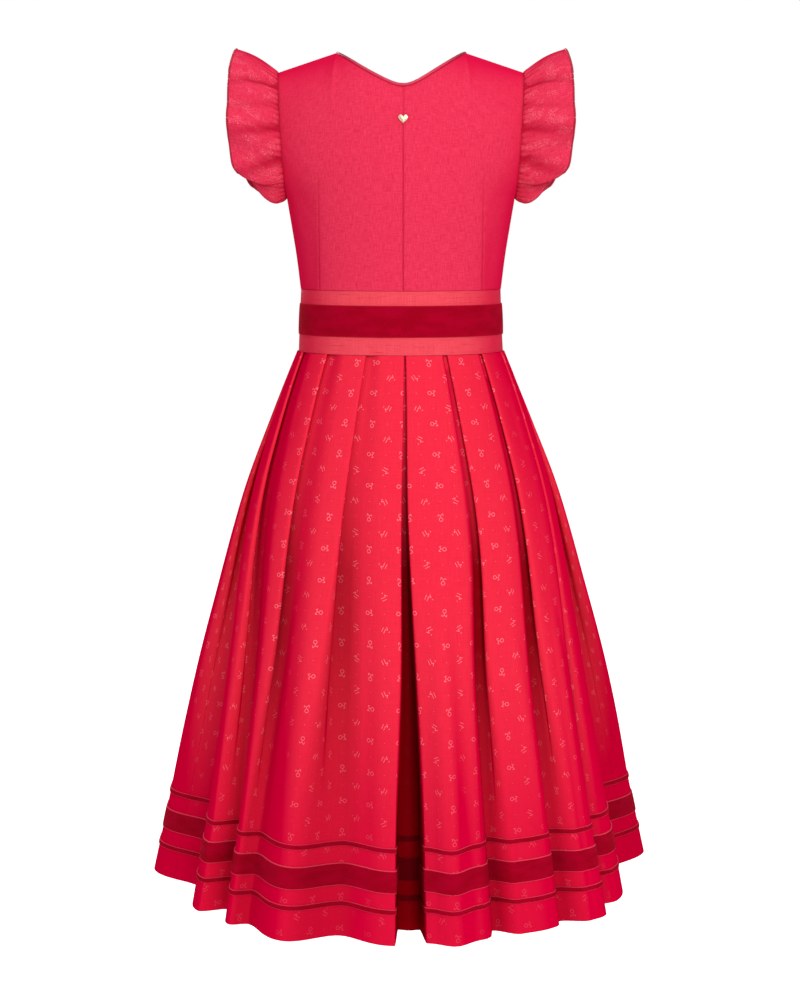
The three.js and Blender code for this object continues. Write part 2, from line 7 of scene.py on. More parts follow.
import bpy
import numpy as np
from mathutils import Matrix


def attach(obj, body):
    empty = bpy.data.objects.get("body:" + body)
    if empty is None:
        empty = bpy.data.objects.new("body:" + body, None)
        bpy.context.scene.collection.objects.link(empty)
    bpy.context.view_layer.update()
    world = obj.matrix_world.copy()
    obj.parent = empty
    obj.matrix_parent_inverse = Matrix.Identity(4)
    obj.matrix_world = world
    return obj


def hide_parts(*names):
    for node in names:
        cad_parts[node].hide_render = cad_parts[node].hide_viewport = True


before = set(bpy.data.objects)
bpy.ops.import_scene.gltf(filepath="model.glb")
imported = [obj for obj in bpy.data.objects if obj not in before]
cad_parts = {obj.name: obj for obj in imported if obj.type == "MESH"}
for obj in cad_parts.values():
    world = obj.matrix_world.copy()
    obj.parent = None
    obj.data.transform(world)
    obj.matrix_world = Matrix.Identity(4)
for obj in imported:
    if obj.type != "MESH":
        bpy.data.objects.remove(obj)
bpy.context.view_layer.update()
MM = 0.001

# ---------------------------------------------------------------- studio
# The garment hangs as if worn, above a plain pale floor at the level of a girl's feet. A wide soft
# light stands behind the camera on its right, a weaker one on its left. The room behind looks white,
# and lights the garment less than half as brightly as it looks.
CAMERA_PLACE = (-0.001, -2.05, -0.2156)
CAMERA_LOOKS_DOWN = np.radians(8.66)
CAMERA_LENS = 61.49
FLOOR_LEVEL = -1.26
FLOOR_HALF_SIDE = 14.0
FLOOR_GLOW = 0.68

camera = bpy.data.objects.new("camera", bpy.data.cameras.new("camera"))
camera.data.sensor_width = 36
camera.data.lens = CAMERA_LENS
camera.location = CAMERA_PLACE
camera.rotation_euler = (np.pi / 2 - CAMERA_LOOKS_DOWN, 0, 0)
bpy.context.collection.objects.link(camera)
bpy.context.scene.camera = camera
bpy.context.scene.view_settings.view_transform = "Standard"

ROOM_LIGHT = 0.42


def glow(tree, socket, given, seen):
    """Feeds a strength socket the light that is given to the scene, and another that the camera sees."""
    path = tree.nodes.new("ShaderNodeLightPath")
    chosen = tree.nodes.new("ShaderNodeMapRange")
    chosen.inputs["To Min"].default_value = given
    chosen.inputs["To Max"].default_value = seen
    tree.links.new(path.outputs["Is Camera Ray"], chosen.inputs["Value"])
    tree.links.new(chosen.outputs["Result"], socket)


room = bpy.data.worlds.new("white_room")
room.use_nodes = True
background = room.node_tree.nodes["Background"]
background.inputs["Color"].default_value = (1.0, 1.0, 1.0, 1.0)
glow(room.node_tree, background.inputs["Strength"], ROOM_LIGHT, 1.0)
bpy.context.scene.world = room


def soft_light(name, place, aim, side, watts):
    """A square area light of that side, at a place, turned so that it shines at its aim."""
    light = bpy.data.objects.new(name, bpy.data.lights.new(name, "AREA"))
    light.data.size = side
    light.data.energy = watts
    x, y, z = np.subtract(place, aim)
    light.location = place
    light.rotation_euler = (np.arctan2(np.hypot(x, y), z), 0, np.arctan2(x, -y))
    bpy.context.collection.objects.link(light)


soft_light("key_light", (1.0, -2.55, 0.75), (0.0, 0.0, -0.45), 1.3, 50)
soft_light("fill_light", (-2.2, -1.6, 0.3), (0.0, 0.0, -0.5), 1.6, 9)
soft_light("far_light", (-1.1, 2.6, 0.8), (0.0, 0.0, -0.45), 1.3, 34)
soft_light("floor_light", (0.0, 0.0, 2.6), (0.0, 0.0, 0.0), 4.0, 44)

floor_mesh = bpy.data.meshes.new("floor")
floor_corners = [(x * FLOOR_HALF_SIDE, y * FLOOR_HALF_SIDE, FLOOR_LEVEL)
                 for x, y in ((-1, -1), (1, -1), (1, 1), (-1, 1))]
floor_mesh.from_pydata(floor_corners, [], [(0, 1, 2, 3)])
floor = bpy.data.objects.new("floor", floor_mesh)
bpy.context.collection.objects.link(floor)


def new_material(title, color, roughness, **sockets):
    """A material with one Principled shader. Values that are the same all over sit on its sockets."""
    material = bpy.data.materials.new(title)
    material.use_nodes = True
    shader = material.node_tree.nodes["Principled BSDF"]
    shader.inputs["Base Color"].default_value = (*color, 1.0)
    shader.inputs["Roughness"].default_value = roughness
    named = {socket.name.lower(): socket for socket in shader.inputs}
    for name, value in sockets.items():
        named[name.replace("_", " ")].default_value = value
    return material


# The camera sees the floor nearly as light as the room, so no line shows where they meet.
pale_floor = new_material("pale_floor", (0.9, 0.9, 0.9), 0.9, emission_color=(1.0, 1.0, 1.0, 1.0))
tree = pale_floor.node_tree
glow(tree, tree.nodes["Principled BSDF"].inputs["Emission Strength"], 0.0, FLOOR_GLOW)
floor_mesh.materials.append(pale_floor)


# ---------------------------------------------------------------- bodice
# Two backs of slubby linen meet in a plain seam down the middle, and the front is cut in one piece.
# Each has one waist dart a side. The edges are turned in over the shoulder and sewn down flat.
BODICE_CLOTH = 1.4
RIM_ANGLE = np.radians(62)     # a cloth edge is sharper than this, its folds are not
SEAM_GAP = 0.3
SHOULDER_NECK_X = 76.5
SHOULDER_NECK_Z = -1.5
SHOULDER_TIP = np.array([142.5, 0.0, -23.0])
ARMHOLE_BOTTOM = np.array([134.0, 0.0, -166.0])
ARMHOLE_HALF_DEPTH = 46.0
NECK_COLUMN = 0.5              # the column that ends at the neck point
BODY_LEVELS = [-273.1, -236.0, -201.0, -166.0]
BODY_HALF_WIDTHS = [118.4, 122.8, 128.2, 134.0]
ARMHOLE_ANGLES = [180.0, 150.0, 120.0, 95.0]
BACK = {
    "side": -1,
    "centre_z": [-273.1, -236.0, -201.0, -166.0, -147.0, -126.0, -104.0],
    "centre_y": [-94.0, -95.5, -98.0, -100.0, -100.0, -99.0, -96.0],
    "neck_depth": -77.0, "neck_drop": 44.0, "neck_rise": 1.15, "neck_soft": 0.12, "neck_round": 2.2,
    "neck_turn": 55.0,
    "dart_x": 94.0, "dart_top": -140.0, "dart_turn": 0.36,
}
FRONT = {
    "side": 1,
    "centre_z": [-273.1, -236.0, -201.0, -166.0, -151.0, -135.0, -121.0],
    "centre_y": [93.0, 97.0, 102.0, 106.0, 107.5, 107.0, 105.0],
    "neck_depth": 99.0, "neck_drop": 92.0, "neck_rise": 2.4, "neck_soft": 0.0, "neck_round": 3.2,
    "neck_turn": 75.0,
    "dart_x": 52.0, "dart_top": -178.0, "dart_turn": 0.05,
}
DART_DEPTH = 0.8
DART_HALF_WIDTH = 1.1
DART_SHADE = 0.26
CORNER_SPREAD = 0.07           # how far the corner at the neck point is softened, in shares of a row
SEAM_SHIFT = 2.6               # how far the centre back seam lies to the wearer's right
SEAM_SHIFT_REACH = 48.0        # how far from the seam the cloth moves with it
SEAM_DEPTH = 0.9
SEAM_HALF_WIDTH = 1.2
SEAM_LINE_WIDTH = 0.9
SEAM_SHADE = 0.8               # the line is lighter above the stud and darker below it
STUD_LEVEL = -81.0
ARMHOLE_SHADE = 0.35
ARMHOLE_SHADE_WIDTH = 3.0
# Soft creases: where each starts and ends, half its width, and how far it presses in.
BACK_CREASES = [
    (-128, -150, -96, -196, 9, 1.5), (-126, -176, -98, -214, 7, 1.0), (128, -150, 104, -186, 9, 1.0),
    (-60, -262, -22, -250, 7, 0.6), (44, -262, 88, -246, 8, 0.7), (-20, -232, 18, -240, 9, 0.4),
    (-96, -268, -104, -216, 7, 0.8), (100, -268, 108, -206, 7, 0.8), (70, -52, 96, -84, 12, 0.7),
    (-70, -50, -98, -82, 12, 0.7),
]
FRONT_CREASES = [
    (126, -150, 92, -190, 9, 1.3), (-126, -150, -92, -190, 9, 1.3), (-36, -256, 30, -262, 8, 0.7),
    (96, -262, 104, -214, 7, 0.8), (-96, -262, -104, -214, 7, 0.8), (58, -120, 96, -110, 12, 0.6),
    (-58, -120, -96, -110, 12, 0.6),
]


def eased(stations, values, at):
    """A smooth curve through a table: a cubic between each two stations. Its slope at a station is the
    harmonic mean of the two straight slopes that meet there, or level at a peak, so it never overshoots."""
    stations = np.asarray(stations, float)
    values = np.asarray(values, float)
    if stations[0] > stations[-1]:
        stations, values = stations[::-1], values[::-1]
    table = values.reshape(len(stations), -1)
    step = np.diff(stations)[:, None]
    straight = np.diff(table, axis=0) / step
    before, after = straight[:-1], straight[1:]
    same = before * after > 0
    middle = np.where(same, 2 * before * after / np.where(same, before + after, 1), 0)
    slope = np.vstack([straight[:1], middle, straight[-1:]])
    at = np.clip(at, stations[0], stations[-1])
    k = np.clip(np.searchsorted(stations, at, side="right") - 1, 0, len(stations) - 2)
    t = ((at - stations[k]) / step[k, 0])[..., None]
    curve = (
        (1 + 2 * t) * (1 - t) ** 2 * table[k] + t * (1 - t) ** 2 * step[k] * slope[k]
        + t ** 2 * (3 - 2 * t) * table[k + 1] + t ** 2 * (t - 1) * step[k] * slope[k + 1]
    )
    return curve[..., 0] if values.ndim == 1 else curve


def mixed(a, b, share):
    """Straight mixing: a where share is 0 and b where it is 1."""
    return a + (b - a) * share


def creased(x, z, creases):
    """How far the creases press in at each point: a bell across each straight crease that fades to its
    ends."""
    depth = np.zeros(np.shape(x))
    for x0, z0, x1, z1, width, most in creases:
        along = ((x - x0) * (x1 - x0) + (z - z0) * (z1 - z0)) / ((x1 - x0) ** 2 + (z1 - z0) ** 2)
        held = np.clip(along, 0, 1)
        off = np.hypot(x - mixed(x0, x1, held), z - mixed(z0, z1, held))
        depth += most * np.exp(-((off / width) ** 2)) * (0.35 + 0.65 * np.sin(np.pi * held))
    return depth


def armhole_point(angle, side):
    """A point of the armhole seam: an upright oval from the shoulder tip, 0 degrees, to the underarm, 180,
    whose breadth narrows evenly from top to bottom. side is -1 on the back and 1 on the front."""
    turn = np.radians(angle)
    share = (1 + np.cos(turn)) / 2
    return np.stack([
        mixed(ARMHOLE_BOTTOM[0], SHOULDER_TIP[0], share),
        side * ARMHOLE_HALF_DEPTH * np.sin(turn),
        mixed(ARMHOLE_BOTTOM[2], SHOULDER_TIP[2], share),
    ], -1)


def top_edge(columns, panel):
    """The top edge of a half panel: x grows evenly along the neckline while its height and depth follow
    powers of x, up to the neck point, and a soft share rounds the lowest point. From there a straight line
    runs out to the shoulder tip."""
    k = np.clip(columns / NECK_COLUMN, 0, 1)
    soft = panel["neck_soft"]
    climb = (np.hypot(k ** panel["neck_rise"], soft) - soft) / (np.hypot(1, soft) - soft)
    neck = np.stack([
        SHOULDER_NECK_X * k,
        panel["neck_depth"] * np.sqrt(np.clip(1 - k ** panel["neck_round"], 0, 1)),
        mixed(-panel["neck_drop"], SHOULDER_NECK_Z, climb),
    ], -1)
    out = np.clip((columns - NECK_COLUMN) / (1 - NECK_COLUMN), 0, 1)[:, None]
    shoulder = mixed(np.array([SHOULDER_NECK_X, 0.0, SHOULDER_NECK_Z]), SHOULDER_TIP, out)
    return np.where(columns[:, None] > NECK_COLUMN, shoulder, neck)


def half_bodice(columns, panel, creases, mirror_creases):
    """Half a panel from its centre line out. Each row is an arc of an oval from the centre line to the side
    seam or armhole. Above them, turns carry the cloth over to the top edge: quarter turns at the shoulder
    and shorter ones at the neck. The edge's corner at the neck point is softened below it by a running
    mean. The dart, the flatter flank past it and the creases are then pressed in along Y."""
    side = panel["side"]
    row = np.linspace(0, 6, 79)
    height = np.arange(7)
    centre_z = eased(height, panel["centre_z"], row)
    centre_y = eased(height, panel["centre_y"], row)
    body_x, body_z = eased(height[:4], BODY_HALF_WIDTHS, row), eased(height[:4], BODY_LEVELS, row)
    body_end = np.stack([body_x, np.zeros(len(row)), body_z], -1)
    arm_end = armhole_point(eased(height[3:], ARMHOLE_ANGLES, row), side)
    end = np.where(row[:, None] > 3, arm_end, body_end)
    end_angle = np.arccos(np.clip(end[:, 1] / centre_y, 0, 1))
    reach = np.sin(columns * end_angle[:, None]) / np.sin(end_angle)[:, None]
    rows = np.stack([
        end[:, :1] * reach,
        centre_y[:, None] * np.cos(columns * end_angle[:, None]),
        mixed(centre_z[:, None], end[:, 2:], reach ** 1.5),
    ], -1)
    top = top_edge(columns, panel)
    last = np.radians(mixed(panel["neck_turn"], 90, np.clip(columns / NECK_COLUMN, 0, 1) ** 5))
    turn = np.linspace(0, 1, 23)[1:, None] * last
    rise = np.sin(turn) / np.sin(last)
    over = (1 - np.cos(turn)) / (1 - np.cos(last))
    near = CORNER_SPREAD * np.sin(np.pi * np.clip(columns, 0.001, 0.999))[:, None]
    weight = np.exp(-(((columns - columns[:, None]) / near) ** 2)) * np.gradient(columns)
    soft_top = weight @ top / weight.sum(1, keepdims=True)
    top = mixed(soft_top, top, rise[..., None] ** 10)
    low = rows[-1]
    roll = np.stack([
        mixed(low[:, 0], top[..., 0], rise),
        mixed(low[:, 1], top[..., 1], over),
        mixed(low[:, 2], top[..., 2], rise),
    ], -1)
    grid = np.concatenate([rows, roll])
    below = np.clip((grid[..., 2] - panel["dart_top"]) / (BODY_LEVELS[0] - panel["dart_top"]), 0, 1)
    past = grid[..., 0] - panel["dart_x"]
    dart = np.exp(-((past / DART_HALF_WIDTH) ** 2)) * below ** 0.3
    side_width = np.maximum(grid[:, -1:, 0] - panel["dart_x"], 1)
    flank = np.clip(past, 0, None) * (1 - np.clip(past / side_width, 0, 1) ** 2)
    flank = flank * panel["dart_turn"] * below ** 0.6
    x = -grid[..., 0] if mirror_creases else grid[..., 0]
    grid[..., 1] -= side * (DART_DEPTH * dart + flank + creased(x, grid[..., 2], creases))
    return grid, dart


def normals_of(grid, closed=False, level=False):
    """Outward unit normals of a grid: the step along each row crossed with the step up each column.
    A level grid keeps its heights when it is moved out, so its normals lie flat."""
    if closed:
        along = np.roll(grid, -1, 1) - np.roll(grid, 1, 1)
    else:
        along = np.gradient(grid, axis=1)
    up = np.gradient(grid, axis=0)
    normal = np.cross(along, up)
    if level:
        normal[..., 2] = 0
    return normal / np.linalg.norm(normal, axis=2, keepdims=True)


def lengths(grid, axis):
    """Running length along one axis of a grid of points, from its first point."""
    steps = np.linalg.norm(np.diff(grid, axis=axis), axis=2)
    start = np.zeros_like(np.take(steps, [0], axis))
    return np.concatenate([start, np.cumsum(steps, axis)], axis)


def new_piece(name, points, faces, materials, flat=None):
    """A piece from points in millimetres and faces. flat gives the place on the uncut cloth at every
    corner of the faces, kept as the UV map."""
    mesh = bpy.data.meshes.new(name)
    mesh.from_pydata((points.reshape(-1, 3) * MM).tolist(), [], faces)
    if flat is not None:
        mesh.uv_layers.new(name="cloth").data.foreach_set("uv", flat.ravel())
    for material in materials:
        mesh.materials.append(material)
    mesh.shade_smooth()
    piece = bpy.data.objects.new(name, mesh)
    bpy.context.collection.objects.link(piece)
    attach(piece, "root")
    return piece


def wall_object(name, outer, inner, flat, materials, closed=False, marks=None):
    """A closed wall between two grids of the same size. flat gives each point's place on the uncut cloth,
    with one more column on a closed ring. marks are masks for the material. The second material, if there
    is one, is the cloth's wrong side."""
    rows, columns = outer.shape[:2]

    def walls(front, back):
        """The four corners of every face: outside, inside, then the rims."""
        strips = [
            (front[:-1, :-1], front[:-1, 1:], front[1:, 1:], front[1:, :-1]),
            (back[:-1, :-1], back[1:, :-1], back[1:, 1:], back[:-1, 1:]),
            (front[0, 1:], front[0, :-1], back[0, :-1], back[0, 1:]),
            (front[-1, :-1], front[-1, 1:], back[-1, 1:], back[-1, :-1]),
        ]
        if not closed:
            strips.append((front[:-1, 0], front[1:, 0], back[1:, 0], back[:-1, 0]))
            strips.append((front[1:, -1], front[:-1, -1], back[:-1, -1], back[1:, -1]))
        return [np.stack(corners, -1).reshape(-1, 4) for corners in strips]

    index = np.arange(rows * columns).reshape(rows, columns)
    if closed:
        index = np.hstack([index, index[:, :1]])
    faces = walls(index, index + rows * columns)
    flat_index = np.arange(flat.shape[0] * flat.shape[1]).reshape(flat.shape[:2])
    flat_faces = np.concatenate(walls(flat_index, flat_index))
    piece = new_piece(name, np.stack([outer, inner]), np.concatenate(faces).tolist(), materials,
                      flat.reshape(-1, 2)[flat_faces.ravel()])
    mesh = piece.data
    for mark, values in (marks or {}).items():
        column = np.concatenate([values.ravel(), values.ravel()]).astype(np.float32)
        mesh.attributes.new(mark, "FLOAT", "POINT").data.foreach_set("value", column)
    if len(materials) > 1:
        wrong_side = np.zeros(sum(len(f) for f in faces), np.int32)
        wrong_side[len(faces[0]):len(faces[0]) + len(faces[1])] = 1
        mesh.polygons.foreach_set("material_index", wrong_side)
    mesh.set_sharp_from_angle(angle=RIM_ANGLE)
    return piece


def cloth_object(name, middle, thickness, flat, materials, closed=False, level=False, marks=None):
    """A cloth wall with the grid in the middle of its thickness."""
    normal = normals_of(middle, closed, level)
    half = thickness / 2 * normal
    return wall_object(name, middle + half, middle - half, flat, materials, closed, marks)


def shader_node(tree, kind, settings=(), **links):
    """Adds one node. Keys name its inputs, with _ for a space or a number for a place, and a socket given
    for one is linked while anything else is set as its value."""
    node = tree.nodes.new(kind)
    for setting, value in dict(settings).items():
        setattr(node, setting, value)
    for key, value in links.items():
        place = int(key[1:]) if key[1:].isdigit() else key.replace("_", " ")
        if isinstance(value, bpy.types.NodeSocket):
            tree.links.new(value, node.inputs[place])
        else:
            node.inputs[place].default_value = value
    return node


def worked(tree, operation, first, second=0.0, third=0.0, clamped=False):
    """The result of one Math node."""
    settings = {"operation": operation, "use_clamp": clamped}
    return shader_node(tree, "ShaderNodeMath", settings, i0=first, i1=second, i2=third).outputs[0]


def vector_worked(tree, operation, first, second=(0.0, 0.0, 0.0), scale=1.0):
    """The result of one Vector Math node: a number where the operation gives one."""
    other = {"Scale": scale} if operation == "SCALE" else {"i1": second}
    node = shader_node(tree, "ShaderNodeVectorMath", {"operation": operation}, i0=first, **other)
    return node.outputs["Value" if operation in ("DOT_PRODUCT", "DISTANCE", "LENGTH") else "Vector"]


def flat_noise(tree, vector, detail, roughness):
    """Noise over two directions, with a grain one unit long."""
    return shader_node(tree, "ShaderNodeTexNoise", {"noise_dimensions": "2D"}, Vector=vector, Scale=1.0,
                       Detail=detail, Roughness=roughness).outputs["Fac"]


def cloth_place(tree):
    """The place on the flat cloth in millimetres, from the piece's UV map."""
    return shader_node(tree, "ShaderNodeUVMap", {"uv_map": "cloth"}).outputs["UV"]


def cloth_noise(tree, across, up, detail=2.0, roughness=0.6):
    """Noise whose grain is `across` and `up` millimetres long in the two directions of the cloth."""
    scaled = vector_worked(tree, "MULTIPLY", cloth_place(tree), (1 / across, 1 / up, 0.0))
    return flat_noise(tree, scaled, detail, roughness)


def new_group(name, inputs, outputs):
    """An empty shader node group with named sockets, and its two end nodes."""
    group = bpy.data.node_groups.new(name, "ShaderNodeTree")
    for way, sockets in (("INPUT", inputs), ("OUTPUT", outputs)):
        for socket, kind in sockets:
            group.interface.new_socket(name=socket, in_out=way, socket_type=kind)
    return group, group.nodes.new("NodeGroupInput"), group.nodes.new("NodeGroupOutput")


# Uneven yarns: streaks along the warp and along the weft, each a few yarns wide, and their knots.
weave_group, weave_in, weave_out = new_group(
    "uneven_yarns",
    [("Cloth", "NodeSocketVector"), ("Yarn", "NodeSocketFloat"), ("Run", "NodeSocketFloat")],
    [("Tone", "NodeSocketFloat"), ("Height", "NodeSocketFloat")])
yarn, run = weave_in.outputs["Yarn"], weave_in.outputs["Run"]
streaks = []
for first, second in ((yarn, run), (run, yarn)):
    pitch = shader_node(weave_group, "ShaderNodeCombineXYZ", X=first, Y=second, Z=1.0)
    scaled = vector_worked(weave_group, "DIVIDE", weave_in.outputs["Cloth"], pitch.outputs[0])
    streaks.append(flat_noise(weave_group, scaled, 2.0, 0.7))
tone = worked(weave_group, "ADD", worked(weave_group, "MULTIPLY", streaks[0], 0.55),
              worked(weave_group, "MULTIPLY", streaks[1], 0.45))
crossing = worked(weave_group, "MAXIMUM", streaks[0], streaks[1])
weave_group.links.new(tone, weave_out.inputs["Tone"])
weave_group.links.new(crossing, weave_out.inputs["Height"])


def ramped(tree, value, low, high, first=0.0, second=1.0):
    """A value carried evenly from low..high to first..second, and held beyond them."""
    return shader_node(tree, "ShaderNodeMapRange", {"interpolation_type": "SMOOTHSTEP"}, Value=value,
                       From_Min=low, From_Max=high, To_Min=first, To_Max=second).outputs["Result"]


def blended(tree, share, first, second):
    """Two colours mixed by a share. Each is a socket or a red, green, blue triple."""
    first, second = (c if isinstance(c, bpy.types.NodeSocket) else (*c, 1.0) for c in (first, second))
    return shader_node(tree, "ShaderNodeMix", {"data_type": "RGBA"}, i0=share, i6=first, i7=second).outputs[2]


def bump_on(tree, height, strength, distance):
    """Feeds a relief to the Principled shader's normal. distance is its full height in metres."""
    bump = shader_node(tree, "ShaderNodeBump", Strength=strength, Distance=distance, Height=height)
    tree.links.new(bump.outputs["Normal"], tree.nodes["Principled BSDF"].inputs["Normal"])


def paint(tree, colour):
    """Feeds a colour to the Principled shader."""
    tree.links.new(colour, tree.nodes["Principled BSDF"].inputs["Base Color"])


def facing(tree):
    """How far the surface turns away from the eye, from 0 to 1."""
    return shader_node(tree, "ShaderNodeLayerWeight", Blend=0.5).outputs["Facing"]


def mask_of(tree, name):
    """One of the piece's masks, from 0 to 1."""
    return shader_node(tree, "ShaderNodeAttribute", {"attribute_name": name}).outputs["Fac"]


def yarns(tree, yarn_width, yarn_run):
    """The uneven yarns group placed on the piece's flat cloth."""
    node = shader_node(tree, "ShaderNodeGroup", {"node_tree": weave_group}, Cloth=cloth_place(tree),
                       Yarn=yarn_width, Run=yarn_run)
    return node.outputs["Tone"], node.outputs["Height"]


linen = new_material("coral_linen", (0.7, 0.02, 0.07), 0.85, sheen_weight=0.0,
                     specular_ior_level=0.0)
tree = linen.node_tree
linen_tone, linen_height = yarns(tree, 0.75, 11.0)
linen_tone = ramped(tree, linen_tone, 0.34, 0.66)
linen_light = blended(tree, linen_tone, (0.660, 0.020, 0.064), (0.780, 0.042, 0.098))
slub = ramped(tree, cloth_noise(tree, 1.0, 14.0), 0.60, 0.74)
linen_light = blended(tree, worked(tree, "MULTIPLY", slub, 0.3), linen_light, (0.84, 0.07, 0.13))
# Painted shade: the linen darkens where it turns away from the eye.
linen_light = blended(tree, ramped(tree, facing(tree), 0.12, 0.68), linen_light, (0.68, 0.006, 0.054))
# Painted shade: the linen darkens under the neck piping, along the darts and seams, and beside the armhole.
paint(tree, blended(tree, mask_of(tree, "painted_shade"), linen_light, (0.28, 0.0, 0.012)))
bump_on(tree, linen_height, 0.35, 0.0006)

NEAR_SEAM = np.array([0.004, 0.009, 0.016])
NECK_SHADE_WIDTH = 2.6               # width of the dark line under the piping


def bodice_columns():
    """Even columns, with closer ones at the centre line and over the columns that the darts cross."""
    spread = [np.linspace(0, 1, 67), NEAR_SEAM, np.linspace(0.3, 0.8, 161), [NECK_COLUMN]]
    columns = np.unique(np.round(np.concatenate(spread), 5))
    return columns[np.concatenate([[True], np.diff(columns) > 0.0016])]


def seam_shift(points):
    """How far points of the back move to the wearer's right: most at the centre line, none at the sides."""
    return SEAM_SHIFT * np.clip(1 - (points[..., 0] / SEAM_SHIFT_REACH) ** 2, 0, 1) ** 2


def neck_painted_shade(grid, columns):
    """Painted shade under the neck piping: dark at the neckline's edge, fading down the cloth over its width.
    """
    down = lengths(grid[::-1], 0)[::-1]
    return 0.9 * np.clip(2 - 2 * down / NECK_SHADE_WIDTH, 0, 1) * (columns <= NECK_COLUMN)


back_columns = bodice_columns()
for name, mirrored in (("bodice_back_right", False), ("bodice_back_left", True)):
    half, dart = half_bodice(back_columns, BACK, BACK_CREASES, mirrored)
    flat = np.stack([lengths(half, 1), lengths(half, 0)], -1)
    half[..., 1] += SEAM_DEPTH * np.exp(-((flat[..., 0] / SEAM_HALF_WIDTH) ** 2)) - SEAM_GAP / 2
    lower = np.clip(0.5 - (half[..., 2] - STUD_LEVEL) / 120, 0.3, 0.85)
    seam_line = np.exp(-((flat[..., 0] / SEAM_LINE_WIDTH) ** 2)) * lower
    from_armhole = flat[:, -1:, 0] - flat[..., 0]
    # Painted shade under the neck piping, along the dart and the centre back seam, and beside the armhole.
    back_painted_shade = np.maximum.reduce([
        neck_painted_shade(half, back_columns), DART_SHADE * dart, SEAM_SHADE * seam_line,
        ARMHOLE_SHADE * np.clip(1 - from_armhole / ARMHOLE_SHADE_WIDTH, 0, 1)])
    if mirrored:
        half, flat, back_painted_shade = half[:, ::-1] * (-1, 1, 1), flat[:, ::-1] * (-1, 1), back_painted_shade[:, ::-1]
    half[..., 0] += seam_shift(half)
    back = cloth_object(name, half, BODICE_CLOTH, flat, [linen], marks={"painted_shade": back_painted_shade})
    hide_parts(name)

front_columns = bodice_columns()
right, dart = half_bodice(front_columns, FRONT, FRONT_CREASES, False)
left = half_bodice(front_columns, FRONT, FRONT_CREASES, True)[0]
whole = np.concatenate([right[:, ::-1], left[:, 1:] * (-1, 1, 1)], 1) + (0, SEAM_GAP / 2, 0)
flat = np.stack([lengths(whole, 1), lengths(whole, 0)], -1)
# Painted shade under the neck piping and along the darts.
half_mask = np.maximum(neck_painted_shade(right, front_columns), DART_SHADE * dart)
front_mask = np.concatenate([half_mask[:, ::-1], half_mask[:, 1:]], 1)
bodice_front = cloth_object("bodice_front", whole, BODICE_CLOTH, flat, [linen], marks={"painted_shade": front_mask})
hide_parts("bodice_front")


# ---------------------------------------------------------------- neck piping
# A cord covered in a bias strip of satin in the bodice's colour, sewn into the neckline all round.
NECK_PIPING_RADIUS = 1.8
NECK_PIPING_LIFT = -0.3


def unit(vectors):
    """The vectors at length 1."""
    return vectors / np.linalg.norm(vectors, axis=-1, keepdims=True)


def ring_cord(name, path, radius, sides, material):
    """A round cord along a closed path: a circle at each point, square to the path."""
    along = unit(np.roll(path, -1, 0) - np.roll(path, 1, 0))
    up = np.array([0.0, 0.0, 1.0])
    flat_up = up - along * along[:, 2:]
    lying = np.linalg.norm(flat_up, axis=1, keepdims=True) < 0.2
    ahead = np.array([0.0, 1.0, 0.0]) - along * along[:, 1:2]
    first = unit(np.where(lying, ahead, flat_up))
    second = np.cross(along, first)
    turn = np.linspace(0, 2 * np.pi, sides, endpoint=False)[None, :, None]
    rings = path[:, None] + radius * (np.cos(turn) * first[:, None] + np.sin(turn) * second[:, None])
    count = len(path)
    index = np.arange(count * sides).reshape(count, sides)
    ahead_index = np.roll(index, -1, 0)
    faces = np.stack([index, ahead_index, np.roll(ahead_index, -1, 1), np.roll(index, -1, 1)], -1)
    faces = faces.reshape(-1, 4)
    run_length = np.concatenate([[0], np.cumsum(np.linalg.norm(np.diff(path, axis=0), axis=1))])
    run_length = np.append(run_length, run_length[-1] + np.linalg.norm(path[0] - path[-1]))
    step, side = np.meshgrid(np.arange(count), np.arange(sides), indexing="ij")
    round_it = 2 * np.pi * radius / sides
    flat = np.stack([
        np.stack([run_length[step + a], (side + b) * round_it], -1)
        for a, b in ((0, 0), (1, 0), (1, 1), (0, 1))], 2)
    piece = new_piece(name, rings, faces.tolist(), [material], flat)
    corners = rings.reshape(-1, 3)[faces]
    volume = (corners[:, 0] * np.cross(corners[:, 1], corners[:, 2])).sum()
    if volume < 0:
        piece.data.flip_normals()
    return piece


def bias_ribs(tree, scale, unevenness):
    """The slanting ribs of a bias strip, as a value from 0 to 1."""
    return shader_node(tree, "ShaderNodeTexWave", {"bands_direction": "DIAGONAL"}, Scale=scale,
                       Distortion=unevenness, Vector=cloth_place(tree)).outputs["Fac"]


satin = new_material("coral_satin", (0.7, 0.012, 0.06), 0.4, sheen_weight=0.04, specular_ior_level=0.25)
tree = satin.node_tree
neck_ribs = bias_ribs(tree, 0.9, 0.4)
satin_light = blended(tree, neck_ribs, (0.60, 0.026, 0.07), (0.72, 0.050, 0.11))
# Painted shade: the satin darkens where it turns away from the eye.
paint(tree, blended(tree, ramped(tree, facing(tree), 0.2, 0.7), satin_light, (0.26, 0.0, 0.012)))
bump_on(tree, neck_ribs, 0.25, 0.0003)

